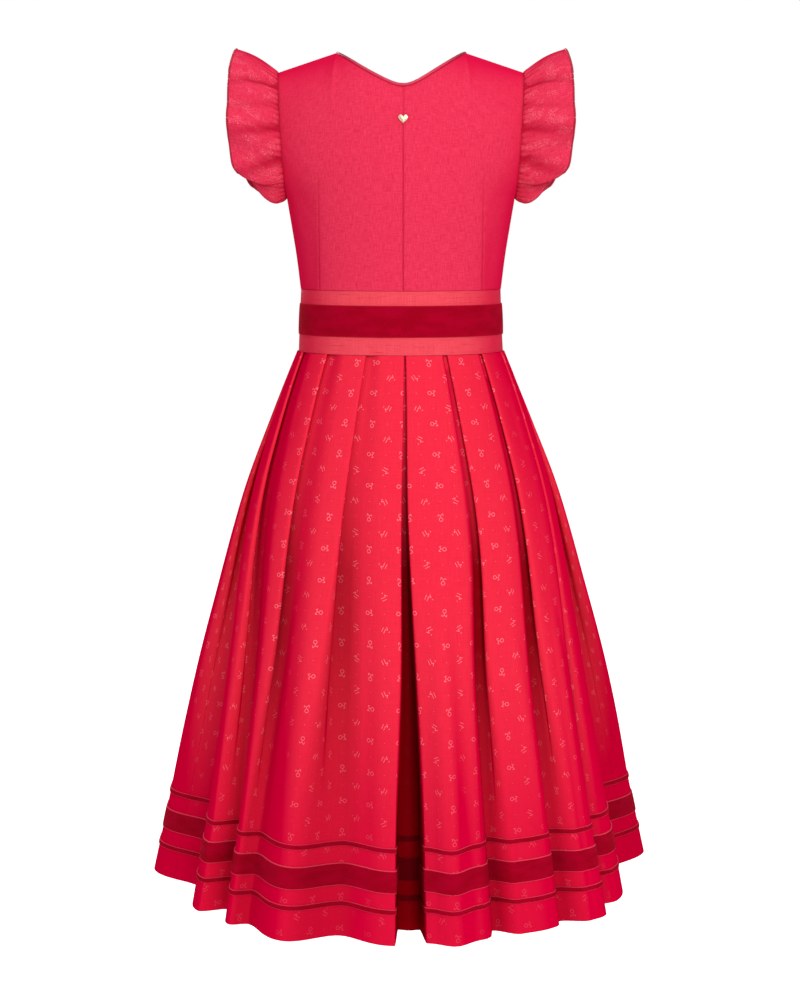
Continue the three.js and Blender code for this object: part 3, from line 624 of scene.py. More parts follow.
neck_columns = np.linspace(0, NECK_COLUMN, 97)
back_edge = top_edge(neck_columns, BACK)
front_edge = top_edge(neck_columns, FRONT)[::-1][1:]
right_edge = np.concatenate([back_edge, front_edge])
neck_ring = np.concatenate([right_edge, right_edge[1:-1][::-1] * (-1, 1, 1)])
ring_along = unit(np.roll(neck_ring, -1, 0) - np.roll(neck_ring, 1, 0))
neck_ring[neck_ring[:, 1] < 0, 0] += seam_shift(neck_ring[neck_ring[:, 1] < 0])
out_share = neck_ring[:, :1] / SHOULDER_NECK_X
inward = np.concatenate([-out_share, 0 * out_share, 1 - 0.5 * np.abs(out_share)], 1)
inward = unit(inward - ring_along * (inward * ring_along).sum(1, keepdims=True))
neck_path = neck_ring + inward * (NECK_PIPING_RADIUS + NECK_PIPING_LIFT)
neck_piping = ring_cord("neck_piping", neck_path, NECK_PIPING_RADIUS, 12, satin)
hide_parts("neck_piping")


# ---------------------------------------------------------------- sleeves
# A ruffle of thin voile gathered into the armhole all round. It stands off the shoulder, rolls under at
# the bottom, and its free edge is bound with a narrow dark cord.
SLEEVE_CLOTH = 1.0
SLEEVE = {
    "clearance": 0.9, "top_x": 190.0, "bulge": 7.0, "bottom_x": 158.0, "turn_under": 11.0,
    "top_z": 3.0, "bottom_z": -160.0, "half_depth": 60.0, "bow": 4.0, "belly": 6.0, "tuck": 3.0,
    "waves": 9, "wave_height": 6.5, "fullness": 1.15, "calm_to": 32.0, "calm_fade": 48.0,
}
SLEEVE_PIPING_RADIUS = 1.3
SLEEVE_PIPING_LIFT = -0.5
GATHERS = 58
GATHER_HEIGHT = 1.5
# Creases from the seam to the edge: angle there and here, half width in degrees, depth.
SLEEVE_CREASES = [
    (40, 56, 5.0, 5.0), (84, 99, 5.0, 5.0), (112, 133, 5.5, 5.0), (143, 153, 6.0, 2.4), (63, 78, 4.0, 2.0),
    (320, 304, 5.0, 4.4), (276, 261, 5.0, 4.6), (246, 228, 5.5, 4.6), (214, 206, 6.0, 2.4),
]


def gathers(turn):
    """Fine gathers round the seam, from -1 to 1: a sine whose place is shifted by two slow ones."""
    return np.sin(GATHERS * turn + 3 * (0.6 * np.sin(5 * turn) + 0.9 * np.sin(3 * turn + 2)))


def off_crease(angles, share, at_seam, at_edge):
    """How many degrees each column is past a crease, which runs straight from the seam to the edge."""
    return (angles - mixed(at_seam, at_edge, share) + 180) % 360 - 180


def ruffle(shares, angles):
    """The ruffle at shares of the way from the seam to its free edge. Seam and edge are ovals joined by
    straight lines with a bow, deeper at the bottom, where the edge is tucked up behind it. Waves along the
    edge grow with a power of the share, and are low over the shoulder. Fine gathers and a few long creases
    start at the seam."""
    seam = armhole_point(angles, -1)
    turn = np.radians(angles)
    down = (1 - np.cos(turn)) / 2
    edge = np.stack([
        mixed(SLEEVE["top_x"], SLEEVE["bottom_x"], down ** SLEEVE["turn_under"])
        + SLEEVE["bulge"] * np.abs(np.sin(turn)),
        -SLEEVE["half_depth"] * np.sin(turn),
        mixed(SLEEVE["top_z"], SLEEVE["bottom_z"], down) + SLEEVE["tuck"] * down ** 6,
    ], -1)
    start = seam + unit(edge - seam) * SLEEVE["clearance"]
    share = shares[:, None]
    place = mixed(start, edge, share[..., None])
    middle_z = (SLEEVE["top_z"] + SLEEVE["bottom_z"]) / 2
    outward = place - np.array([0, 0, middle_z])
    outward[..., 0] = 0
    outward = unit(outward)
    wave = np.sin(SLEEVE["waves"] * turn + 0.5 * np.sin(2 * turn + 1))
    from_top = 180 - np.abs(180 - angles % 360)
    rough = mixed(0.12, 1, np.clip((from_top - SLEEVE["calm_to"]) / SLEEVE["calm_fade"], 0, 1) ** 1.5)
    height = SLEEVE["wave_height"] * rough * wave * share ** SLEEVE["fullness"]
    bow = np.sin(share * np.pi)
    height = height + SLEEVE["bow"] * bow + SLEEVE["belly"] * down ** 3 * bow ** 0.6
    fade = np.exp(-share / 0.16) * np.clip(share / 0.03, 0, 1)
    height = height + GATHER_HEIGHT * gathers(turn) * (0.75 + 0.25 * np.sin(7 * turn)) * fade
    for at_seam, at_edge, width, most in SLEEVE_CREASES:
        bell = np.exp(-((off_crease(angles, share, at_seam, at_edge) / width) ** 2))
        height = height - most * bell * np.clip(share * 6, 0, 1) * (1 - 0.35 * share)
    return place + outward * height[..., None]


def sleeve_shade(shares, angles):
    """Painted shade: how dark the cloth is in the gathers near the seam, and along the creases, more on their
    lower side."""
    share = shares[:, None]
    hollow = np.clip(-gathers(np.radians(angles)), 0, 1) * np.exp(-share / 0.14)
    shade = 0.5 * np.exp(-share / 0.03) + 0.5 * hollow
    for at_seam, at_edge, width, most in SLEEVE_CREASES:
        downwards = 1 if at_seam < 180 else -1
        below = off_crease(angles, share, at_seam, at_edge) * downwards - 0.35 * width
        shade = shade + 0.16 * most * np.exp(-((below / (0.8 * width)) ** 2)) * (1 - 0.6 * share)
    return np.clip(shade, 0, 0.8)


voile = new_material("coral_voile", (0.7, 0.02, 0.07), 0.8, sheen_weight=0.02, sheen_roughness=0.4,
                     specular_ior_level=0.0)
tree = voile.node_tree
voile_tone, voile_height = yarns(tree, 0.8, 9.0)
voile_tone = ramped(tree, voile_tone, 0.38, 0.62)
voile_colour = blended(tree, voile_tone, (0.660, 0.022, 0.068), (0.780, 0.048, 0.104))
specks = ramped(tree, cloth_noise(tree, 0.8, 2.4, 3.0, 0.75), 0.52, 0.68)
speck_patches = ramped(tree, cloth_noise(tree, 13.0, 22.0, 1.0), 0.50, 0.62)
specks = worked(tree, "MULTIPLY", specks, speck_patches)
voile_colour = blended(tree, worked(tree, "MULTIPLY", specks, 0.6), voile_colour, (1.0, 0.30, 0.36))
# Painted shade: the voile darkens where it turns away from the eye.
voile_colour = blended(tree, ramped(tree, facing(tree), 0.35, 0.85), voile_colour, (0.56, 0.002, 0.042))
# Painted shade in the gathers and along the creases of the ruffle.
paint(tree, blended(tree, mask_of(tree, "painted_shade"), voile_colour, (0.38, 0.0, 0.018)))
bump_on(tree, voile_height, 0.4, 0.0005)

dark_satin = new_material("dark_satin", (0.42, 0.004, 0.03), 0.45, sheen_weight=0.04,
                          specular_ior_level=0.25)
tree = dark_satin.node_tree
edge_ribs = bias_ribs(tree, 0.8, 0.3)
paint(tree, blended(tree, edge_ribs, (0.34, 0.0, 0.018), (0.52, 0.008, 0.04)))
bump_on(tree, edge_ribs, 0.25, 0.0003)


def ring_flat(rows, measured=0):
    """The flat cloth of a closed ring: length round one measured row, and height up the column."""
    ring = np.concatenate([rows, rows[:, :1]], 1)
    round_it = lengths(ring, 1)[measured]
    return np.stack([np.broadcast_to(round_it, ring.shape[:2]), lengths(ring, 0)], -1)


sleeve_angles = np.linspace(0, 360, 540, endpoint=False)
sleeve_shares = np.concatenate([np.linspace(0, 0.2, 9)[:-1], np.linspace(0.2, 1, 24)])
near_edge, at_edge = ruffle(np.array([0.9, 1.0]), sleeve_angles)
edge_along = unit(np.roll(at_edge, -1, 0) - np.roll(at_edge, 1, 0))
edge_out = at_edge - near_edge
edge_out = unit(edge_out - edge_along * (edge_out * edge_along).sum(1, keepdims=True))
edge_path = at_edge + edge_out * (SLEEVE_PIPING_RADIUS + SLEEVE_PIPING_LIFT)
for name, mirrored in (("right", False), ("left", True)):
    cloth = ruffle(sleeve_shares, sleeve_angles)
    sleeve_painted_shade = sleeve_shade(sleeve_shares, sleeve_angles)
    cord_path = edge_path
    if mirrored:
        cloth, sleeve_painted_shade = cloth[:, ::-1] * (-1, 1, 1), sleeve_painted_shade[:, ::-1]
        cord_path = edge_path * (-1, 1, 1)
    sleeve = cloth_object("sleeve_" + name, cloth, SLEEVE_CLOTH, ring_flat(cloth, -1), [voile], closed=True,
                          marks={"painted_shade": sleeve_painted_shade})
    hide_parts("sleeve_" + name)
    piping = ring_cord("sleeve_piping_" + name, cord_path, SLEEVE_PIPING_RADIUS, 10, dark_satin)
    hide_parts("sleeve_piping_" + name)


# ---------------------------------------------------------------- heart stud
# A small cast heart, gilded, with a domed face. It is riveted through the centre back seam.
def object_place(tree):
    """The place on the piece, in metres."""
    return shader_node(tree, "ShaderNodeTexCoord").outputs["Object"]


gold = new_material("pale_gold", (0.92, 0.76, 0.52), 0.34, metallic=1.0)
tree = gold.node_tree
cast = shader_node(tree, "ShaderNodeTexNoise", Vector=object_place(tree), Scale=900.0, Detail=3.0)
cast = cast.outputs["Fac"]
paint(tree, blended(tree, ramped(tree, cast, 0.35, 0.65), (0.88, 0.70, 0.44), (0.98, 0.88, 0.68)))
bump_on(tree, cast, 0.3, 0.0002)

STUD_HALF_WIDTH = 5.6
STUD_HALF_HEIGHT = 5.2
STUD_DOME = 1.6
STUD_SUNK = 0.5                # how far its back is pressed into the cloth
STUD_PLACE = (SEAM_SHIFT, -96.9, -82.2)


def heart_outline(count):
    """Points of a heart, point down: the sine cubed across and four cosines up, scaled to a half width and
    a half height of 1."""
    turn = np.linspace(0, 2 * np.pi, count, endpoint=False)
    across = np.sin(turn) ** 3
    up = (13 * np.cos(turn) - 5 * np.cos(2 * turn) - 2 * np.cos(3 * turn) - np.cos(4 * turn)) / 14.5 + 0.17
    return across, up


heart_x, heart_z = heart_outline(64)
dome_turn = np.radians(np.concatenate([[90.0], np.linspace(84, 0, 12), [0.0]]))
inset = np.append(np.cos(dome_turn[:-1]) ** 0.8, 1.0)
outward_by = np.append(np.sin(dome_turn[:-1]) ** 0.9 * STUD_DOME, -STUD_SUNK)
heart_rings = np.stack([
    STUD_PLACE[0] + STUD_HALF_WIDTH * inset[1:, None] * heart_x,
    STUD_PLACE[1] - outward_by[1:, None] + 0 * heart_x,
    STUD_PLACE[2] + STUD_HALF_HEIGHT * inset[1:, None] * heart_z], -1)
top_point = (STUD_PLACE[0], STUD_PLACE[1] - STUD_DOME, STUD_PLACE[2])
back_point = (STUD_PLACE[0], STUD_PLACE[1] + STUD_SUNK, STUD_PLACE[2])
heart_points = np.concatenate([heart_rings.reshape(-1, 3), [top_point, back_point]])
count = len(heart_x)
number = np.arange(heart_rings.shape[0] * count).reshape(-1, count)
ahead = np.roll(number, -1, 1)
heart_faces = np.stack([number[:-1], number[1:], ahead[1:], ahead[:-1]], -1).reshape(-1, 4).tolist()
heart_faces += [[int(a), int(b), number.size] for a, b in zip(number[0], ahead[0])]
heart_faces += [[int(b), int(a), number.size + 1] for a, b in zip(number[-1], ahead[-1])]
heart_stud = new_piece("heart_stud", heart_points, heart_faces, [gold])
heart_stud.data.set_sharp_from_angle(angle=np.radians(50))
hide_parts("heart_stud")


# ---------------------------------------------------------------- waistband
# A straight band of slubby dupion, 73 mm deep, closes the bodice on the skirt. A velvet ribbon is sewn
# along its middle.
BAND_CLOTH = 1.8
RIBBON_CLOTH = 0.9
RIBBON_LIFT = 0.1
BAND_LEVELS = [-346.3, -273.6]
BAND_HALF_WIDTHS = [121.2, 117.8]
BAND_BACKS = [-96.5, -94.0]
BAND_FRONTS = [95.5, 93.0]
WAIST_RIBBON_LEVELS = (-326.0, -290.0)
BAND_COLUMNS = 240
BAND_RIPPLE = 0.24


def band_ring(levels, out):
    """Level ovals round the waist, read from the band's table and moved out along X and Y."""
    z = np.asarray(levels, float)[:, None]
    angle = np.linspace(0, 2 * np.pi, BAND_COLUMNS, endpoint=False)
    side = np.interp(z, BAND_LEVELS, BAND_HALF_WIDTHS) + out
    back = np.interp(z, BAND_LEVELS, BAND_BACKS) - out
    front = np.interp(z, BAND_LEVELS, BAND_FRONTS) + out
    depth = np.where(np.cos(angle) > 0, back, -front)
    return np.stack([side * np.sin(angle), depth * np.cos(angle), z + 0 * angle], -1)


dupion = new_material("coral_dupion", (0.8, 0.06, 0.1), 0.55, sheen_weight=0.0, specular_ior_level=0.06)
tree = dupion.node_tree
dupion_tone, dupion_height = yarns(tree, 0.7, 18.0)
dupion_tone = ramped(tree, dupion_tone, 0.36, 0.64)
dupion_colour = blended(tree, dupion_tone, (0.740, 0.048, 0.074), (0.820, 0.074, 0.102))
long_slub = ramped(tree, cloth_noise(tree, 46.0, 1.5, 3.0, 0.65), 0.60, 0.72)
dupion_colour = blended(tree, worked(tree, "MULTIPLY", long_slub, 0.6), dupion_colour, (0.58, 0.010, 0.045))
# Painted shade: the dupion darkens where it turns away from the eye.
paint(tree, blended(tree, ramped(tree, facing(tree), 0.06, 0.55), dupion_colour, (0.66, 0.012, 0.050)))
bump_on(tree, worked(tree, "ADD", dupion_height, long_slub), 0.4, 0.0006)

band_rows = band_ring(np.linspace(*BAND_LEVELS, 15), 0.0)
round_it = np.sin(np.linspace(0, 14 * np.pi, BAND_COLUMNS))
band_ripple = BAND_RIPPLE * np.sin(np.linspace(0, np.pi, 15))[:, None] * round_it
band_rows = band_rows + band_ripple[..., None] * normals_of(band_rows, True, True)
waistband = cloth_object("waistband", band_rows, BAND_CLOTH, ring_flat(band_rows), [dupion], closed=True,
                         level=True)
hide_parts("waistband")


def velvet_material(name, width, light_edge, edge_width):
    """Cut velvet: a dark ground under a pile that catches light at its edges. The selvedges of a ribbon
    of that width show as thin lines."""
    velvet = new_material(name, (0.33, 0.0, 0.014), 0.9, sheen_weight=0.25, sheen_roughness=0.35,
                          specular_ior_level=0.03)
    velvet.node_tree.nodes["Principled BSDF"].inputs["Sheen Tint"].default_value = (0.6, 0.0, 0.02, 1.0)
    tree = velvet.node_tree
    pile = cloth_noise(tree, 0.7, 0.9, 3.0)
    brushed = cloth_noise(tree, 30.0, 12.0)
    colour = blended(tree, ramped(tree, brushed, 0.3, 0.7), (0.320, 0.0, 0.011), (0.385, 0.0, 0.018))
    colour = blended(tree, ramped(tree, pile, 0.45, 0.7, 0.0, 0.3), colour, (0.22, 0.0, 0.006))
    across = shader_node(tree, "ShaderNodeSeparateXYZ", Vector=cloth_place(tree)).outputs["Y"]
    wobble = worked(tree, "MULTIPLY", worked(tree, "SUBTRACT", cloth_noise(tree, 2.0, 2.0), 0.5), 0.4)
    from_edge = worked(tree, "MINIMUM", across, worked(tree, "SUBTRACT", width, across))
    selvedge = ramped(tree, worked(tree, "ADD", from_edge, wobble), edge_width, edge_width + 0.3, 1.0, 0.0)
    colour = blended(tree, selvedge, colour, light_edge)
    # Painted shade where a hem ribbon runs into a fold of the skirt.
    paint(tree, blended(tree, mask_of(tree, "painted_fold_shade"), colour, (0.10, 0.0, 0.002)))
    bump_on(tree, pile, 0.5, 0.0006)
    return velvet


WAIST_RIBBON_WIDTH = WAIST_RIBBON_LEVELS[1] - WAIST_RIBBON_LEVELS[0]
waist_velvet = velvet_material("velvet_waist", WAIST_RIBBON_WIDTH, (0.40, 0.004, 0.02), 0.6)
ribbon_levels = np.linspace(*WAIST_RIBBON_LEVELS, 11)
ribbon_out = BAND_CLOTH / 2 + RIBBON_LIFT + RIBBON_CLOTH / 2
ribbon_rows = band_ring(ribbon_levels, ribbon_out)
pile_bulge = 0.5 * np.sin(np.linspace(0, np.pi, 11))[:, None, None] ** 0.5
ribbon_rows = ribbon_rows + pile_bulge * normals_of(ribbon_rows, True, True)
waist_ribbon = cloth_object("waist_ribbon", ribbon_rows, RIBBON_CLOTH, ring_flat(ribbon_rows),
                            [waist_velvet], closed=True, level=True)
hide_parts("waist_ribbon")


# ---------------------------------------------------------------- skirt
# Printed cotton satin cut as two straight panels, joined at the sides inside a pleat. Sixteen folds are
# pressed and caught in the waist seam, an inverted pair at each centre, and open to free flutes below.
SKIRT_CLOTH = 1.2
# Levels: height, half width and half depth of the oval that the pleats stand on, how far they have opened
# from pressed folds (0) to flutes (1), and the share of their full height.
SKIRT_LEVELS = np.array([
    (-346.7, 121.0, 94.5, 0.00, 1.00),
    (-380.0, 134.6, 105.6, 0.03, 1.00),
    (-430.0, 153.6, 122.7, 0.10, 1.00),
    (-505.0, 180.0, 146.0, 0.24, 1.00),
    (-560.0, 195.0, 159.0, 0.36, 1.00),
    (-630.0, 212.0, 174.0, 0.51, 1.00),
    (-710.0, 231.0, 190.0, 0.69, 1.00),
    (-795.0, 249.0, 205.0, 0.87, 0.98),
    (-882.0, 267.0, 219.0, 1.00, 0.92),
    (-992.0, 290.0, 237.9, 1.00, 1.00),
])
FOLD_LEVELS = [-346.7, -540.0, -720.0, -882.0]
# Folds round the skirt from the centre back, in degrees and millimetres: the way each free edge points,
# where it lies at the waist, hip and knee, its crest and valley at the hem with how far they stand from
# the oval, how far the pressed fold runs on underneath, whether the panel before it keeps its height up
# to a lip (1) or sinks evenly to the valley (0), and how dark the painted shade inside the fold is.
FOLDS = np.array([
    (-1, -174.6, -176, -174, -165, 12, -178, -30, 9.6, 0, 0.8),
    (-1, -150, -148, -147, -140, 15, -153, -14, 14, 0, 0.4),
    (-1, -122, -120, -118, -110, 17, -126, -16, 14, 0, 0.4),
    (1, -95, -84, -79, -89, 18, -69, -30, 14, 0, 0.15),
    (1, -76.5, -64, -54, -53.5, 6, -48.5, -22, 14, 0, 0.35),
    (1, -49.8, -43.5, -39.5, -41.5, 9, -37.5, -4, 14, 0, 0.7),
    (1, -24, -22, -20.5, -26, 20, -14, -13, 14, 0, 0.6),
    (1, -2.9, -1.8, -0.6, -1.4, 9, -0.8, -37, 9.6, 0, 1),
    (-1, 7.3, 4.6, 5.0, 5.8, 2, 4.8, -36, 9.6, 0, 1),
    (-1, 30.8, 29.4, 25.6, 28, 3, 22, -17, 14, 1, 0.95),
    (-1, 56, 49.4, 44.0, 47, 14, 39.5, -7, 14, 1, 0.9),
    (-1, 81.5, 69, 60, 62, 2, 53, -14, 14, 1, 0.8),
    (-1, 100, 93, 93, 103, 30, 86, -32, 14, 0, 0.5),
    (1, 122, 121, 121, 115, 17, 127, -16, 14, 0, 0.4),
    (1, 150, 148, 147, 140, 15, 153, -14, 14, 0, 0.4),
    (1, 174.6, 176, 174, 165, 12, 178, -30, 9.6, 0, 0.8),
])
FACING, WAIST, HIP, KNEE, CREST, RISE, VALLEY, DIP, UNDER, LIP, SHADE = FOLDS.T
LEFT_SEAM_FOLD, RIGHT_SEAM_FOLD = 3, 12
# A pressed fold in section: out to its edge, back to the turn underneath, and out again.
PRESSED_SHARES = [0, 0.2, 0.33, 0.44, 0.56, 0.67, 0.8, 1]
PRESSED_ALONG = [-15.0, 8.0, 9.6, 8.0, -8.0, -9.6, -8.0, 0.0]
PRESSED_OUT = [2.4, 2.4, 1.2, 0.0, 0.0, -1.2, -2.4, -2.4]
PANEL_CROWN = 2.0
LIP_START = 0.88               # the share of a panel where the step down from its lip begins
# The painted shade in a fold: the share of it where the shade starts when it is pressed and when it is
# open, the share over which it grows and the power it grows by, without a lip and with one, and the share
# of the panel beside it over which it fades.
SHADE_STARTS = (0.36, 0.05)
SHADE_WIDTHS = (0.3, 0.6)
SHADE_POWERS = (0.8, 1.6)
SHADE_FADES = (0.34, 0.1)
FOLD_SHARES = np.concatenate([
    np.linspace(0, 0.2, 5)[:-1], np.linspace(0.2, 0.8, 21), np.linspace(0.8, 1, 4)[1:]])
PANEL_SHARES = np.linspace(0, 1, 13)[1:-1]
SEAM_SHARE = 0.5
# Soft ridges and hollows over the flutes: angle and height of both ends, half width in degrees, and how
# far each stands out (or in, below zero).
SKIRT_CREASES = [
    (11, -600, 12, -1100, 3.6, 17), (35, -640, 38, -930, 2.0, 2.2), (55, -600, 53, -900, 2.2, -2.6),
    (-9, -620, -8, -950, 2.4, -1.6), (-33, -600, -34, -900, 2.0, 1.8), (-62, -650, -64, -940, 2.4, -2.4),
    (12, -380, 16, -470, 2.0, -1.0), (-30, -372, -33, -440, 2.6, -1.4), (-55, -378, -52, -460, 2.4, -1.6),
    (60, -380, 57, -470, 2.6, -1.2), (85, -420, 82, -600, 3.0, 1.6), (-84, -420, -80, -600, 3.0, 1.6),
    (76, -640, 79, -900, 2.4, 1.8), (-98, -640, -100, -930, 2.4, 1.8), (112, -560, 108, -900, 3.0, -2.0),
    (134, -600, 133, -940, 2.4, 1.6), (157, -560, 158, -900, 2.4, -1.6), (170, -620, 172, -950, 2.0, 1.4),
    (-134, -600, -133, -940, 2.4, 1.6), (-157, -560, -158, -900, 2.4, -1.6),
    (-112, -560, -108, -900, 3.0, -2.0), (-16, -860, -17, -985, 1.8, 1.0),
    (42, -850, 41, -985, 2.0, -1.2), (64, -860, 66, -985, 2.0, 1.2),
]


def fold_shade(z, opened):
    """Painted shade: how dark each column is at each height. It grows from the free edge to the turn
    underneath, and fades over the first part of the panel beside the turn, but not between two turns that
    face each other. It is weak where the fold is pressed flat, and weakens again where it has opened to a
    flute."""
    start = mixed(*SHADE_STARTS, opened)
    lip = LIP[:, None]
    inward = np.clip((FOLD_SHARES - start) / mixed(*SHADE_WIDTHS, lip), 0, 1)
    fold = SHADE[:, None] * inward ** mixed(*SHADE_POWERS, lip)
    fold = np.where(FACING[:, None] < 0, fold[:, :, ::-1], fold)
    after, before = fold[:, :, -1:], np.roll(fold[:, :, :1], -1, 1)
    fade = mixed(*SHADE_FADES, np.roll(lip, -1, 0))
    fade = np.where((after > 0) & (before > 0), 9.0, fade)
    panel = np.maximum(after * (1 - PANEL_SHARES / fade), before * (1 - (1 - PANEL_SHARES) / fade))
    whole = np.concatenate([fold, np.clip(panel, 0, 1)], 2)
    facing_pair = (UNDER < 10)[:, None]
    weaker = mixed(1 - 0.5 * np.clip((opened - 0.6) / 0.4, 0, 1), 1, facing_pair)
    pressed = np.clip(opened / 0.42, 0.2, 1) ** 1.5
    return (whole * weaker * pressed).reshape(len(z), -1)


def skirt_ring(heights):
    """The skirt's middle surface at some heights, from the angle and the distance out of every column, and
    the painted shade at each point. A pressed column lies `along` millimetres past its fold, and an open one
    at a share of the way from crest to valley, out by a cosine between rise and dip. The level's opening
    mixes the two. Panels between folds are joined by a smooth step. A point is then set on the oval and moved
    out square to it."""
    z = np.asarray(heights, float)
    level = eased(SKIRT_LEVELS[:, 0], SKIRT_LEVELS[:, 1:], z).T[:, :, None, None]
    half_width, half_depth, opened, reach = level
    hem_centre = (CREST + VALLEY) / 2
    centre = eased(FOLD_LEVELS, np.stack([WAIST, HIP, KNEE, hem_centre]), np.maximum(z, FOLD_LEVELS[-1]))
    centre = centre[:, :, None]
    turn = np.radians(centre)
    degrees_per_mm = 1 / np.radians(np.hypot(half_width * np.cos(turn), half_depth * np.sin(turn)))
    along = np.array([eased(PRESSED_SHARES, [*PRESSED_ALONG[:-1], under], FOLD_SHARES) for under in UNDER])
    pressed_angle = FACING[:, None] * along * degrees_per_mm
    open_angle = mixed(CREST[:, None], VALLEY[:, None], FOLD_SHARES) - hem_centre[:, None]
    rounded = (1 + np.cos(np.pi * FOLD_SHARES)) / 2
    open_out = mixed(DIP[:, None], RISE[:, None], rounded) * reach
    pressed_out = eased(PRESSED_SHARES, PRESSED_OUT, FOLD_SHARES)
    angle = centre + mixed(pressed_angle, open_angle, opened)
    out = mixed(pressed_out, open_out, opened)
    turned = FACING < 0
    angle[:, turned] = angle[:, turned, ::-1]
    out[:, turned] = out[:, turned, ::-1]
    next_angle = np.roll(angle[:, :, :1], -1, 1)
    next_angle[:, -1] += 360
    next_out = np.roll(out[:, :, :1], -1, 1)
    late = np.clip((PANEL_SHARES - LIP_START) / (1 - LIP_START), 0, 1)
    share = mixed(PANEL_SHARES, late, np.roll(LIP, -1)[:, None])
    step = share ** 2 * (3 - 2 * share)
    crown = PANEL_CROWN * opened * 16 * (PANEL_SHARES * (1 - PANEL_SHARES)) ** 2
    panel_angle = mixed(angle[:, :, -1:], next_angle, PANEL_SHARES)
    panel_out = mixed(out[:, :, -1:], next_out, step) + crown
    angle = np.concatenate([angle, panel_angle], 2).reshape(len(z), -1)
    out = np.concatenate([out, panel_out], 2).reshape(len(z), -1)
    for top_angle, top, low_angle, low, width, height in SKIRT_CREASES:
        down = (z[:, None] - top) / (low - top)
        line = mixed(top_angle, low_angle, np.clip(down, 0, 1))
        off = (angle - line + 180) % 360 - 180
        fade = np.sin(np.pi * np.clip(down, 0, 1)) ** 0.7
        out = out + height * np.exp(-((off / width) ** 2)) * fade * opened[:, 0] ** 0.3
    sine, cosine = np.sin(np.radians(angle)), np.cos(np.radians(angle))
    width, depth = half_width[:, 0], half_depth[:, 0]
    normal = unit(np.stack([sine * depth, -cosine * width], -1))
    x = width * sine + normal[..., 0] * out
    y = -depth * cosine + normal[..., 1] * out
    return np.stack([x, y, z[:, None] + 0 * x], -1), fold_shade(z, opened)


def flat_skirt(ring):
    """Each point's place on the flat panel. Lengths run from the middle of each panel, whose own place is
    that at the hem, so the print is true on the panels, and the change between two panels is hidden in
    the fold between them."""
    hem = lengths(np.concatenate([ring[:1], ring[:1, :1]], 1), 1)[0]
    runs = lengths(np.concatenate([ring, ring[:, :1]], 1), 1)
    per_fold = len(FOLD_SHARES) + len(PANEL_SHARES)
    middles = np.arange(len(FOLDS)) * per_fold + len(FOLD_SHARES) + len(PANEL_SHARES) // 2
    columns = np.arange(runs.shape[1])
    after = np.searchsorted(middles, columns)
    around, total = hem[-1], runs[:, -1:]
    left = middles[(after - 1) % len(middles)]
    right = middles[after % len(middles)]
    left_hem = hem[left] - np.where(after == 0, around, 0)
    right_hem = hem[right] + np.where(after == len(middles), around, 0)
    left_run = runs[:, left] - np.where(after == 0, total, 0)
    right_run = runs[:, right] + np.where(after == len(middles), total, 0)
    within = columns - after % len(middles) * per_fold
    towards = np.clip((np.interp(within, np.arange(len(FOLD_SHARES)), FOLD_SHARES) - 0.3) / 0.4, 0, 1)
    across = mixed(left_hem + runs - left_run, right_hem + runs - right_run, towards)
    up = lengths(ring, 0)
    up = np.concatenate([up, up[:, :1]], 1)
    return np.stack([across, np.broadcast_to(up.mean(1, keepdims=True), across.shape)], -1)


# One stroke of the print: how far a point is from a line between two points.
tree, stroke_in, stroke_out = new_group(
    "stroke", [("Point", "NodeSocketVector"), ("From", "NodeSocketVector"), ("To", "NodeSocketVector")],
    [("Distance", "NodeSocketFloat")])
stroke_group = tree
reach = vector_worked(tree, "SUBTRACT", stroke_in.outputs["To"], stroke_in.outputs["From"])
offset = vector_worked(tree, "SUBTRACT", stroke_in.outputs["Point"], stroke_in.outputs["From"])
along_stroke = worked(tree, "DIVIDE", vector_worked(tree, "DOT_PRODUCT", offset, reach),
                      vector_worked(tree, "DOT_PRODUCT", reach, reach), clamped=True)
nearest = vector_worked(tree, "SCALE", reach, scale=along_stroke)
tree.links.new(vector_worked(tree, "DISTANCE", offset, nearest), stroke_out.inputs["Distance"])

# The print: a small ringed sprig and a bundle of short strokes take turns with dots on an 18 mm grid.
# Each is turned by quarters, and some are mirrored, by the number of its square.
PRINT_PITCH = 18.0
PRINT_LINE = 0.34
SPRIG_RING_CENTRE = (2.5, -0.2, 0.0)
SPRIG_RING_RADIUS = 2.0
SPRIG_LINES = [[(0.5, 0.0), (-1.7, 0.5), (-2.9, 2.9), (-1.3, 3.4)], [(-1.7, 0.3), (-3.9, -2.1)],
               [(-3.9, -2.3), (-1.7, -2.7)]]
BUNDLE_LINES = [[(-3.4, -0.9), (1.2, 1.3), (0.1, 3.5), (3.4, 2.5)], [(-1.7, -3.4), (2.7, -1.3)],
                [(-2.5, 4.9), (-1.7, 5.7)]]
tree, print_in, print_out = new_group(
    "sprig_print", [("Cloth", "NodeSocketVector"), ("Line", "NodeSocketFloat")], [("Ink", "NodeSocketFloat")])
print_group = tree
squares = vector_worked(tree, "SCALE", print_in.outputs["Cloth"], scale=1 / PRINT_PITCH)
square_number = vector_worked(tree, "FLOOR", squares)
within = vector_worked(tree, "SUBTRACT", squares, square_number)
centred = vector_worked(tree, "SUBTRACT", within, (0.5, 0.5, 0.0))
local = vector_worked(tree, "SCALE", centred, scale=PRINT_PITCH)
chance = shader_node(tree, "ShaderNodeTexWhiteNoise", {"noise_dimensions": "2D"}, Vector=square_number)
quarter = worked(tree, "FLOOR", worked(tree, "MULTIPLY", chance.outputs["Value"], 4.0))
spun = shader_node(tree, "ShaderNodeVectorRotate", {"rotation_type": "Z_AXIS"}, Vector=local,
                   Angle=worked(tree, "MULTIPLY", quarter, np.pi / 2)).outputs[0]
second_chance = shader_node(tree, "ShaderNodeSeparateColor", Color=chance.outputs["Color"]).outputs["Blue"]
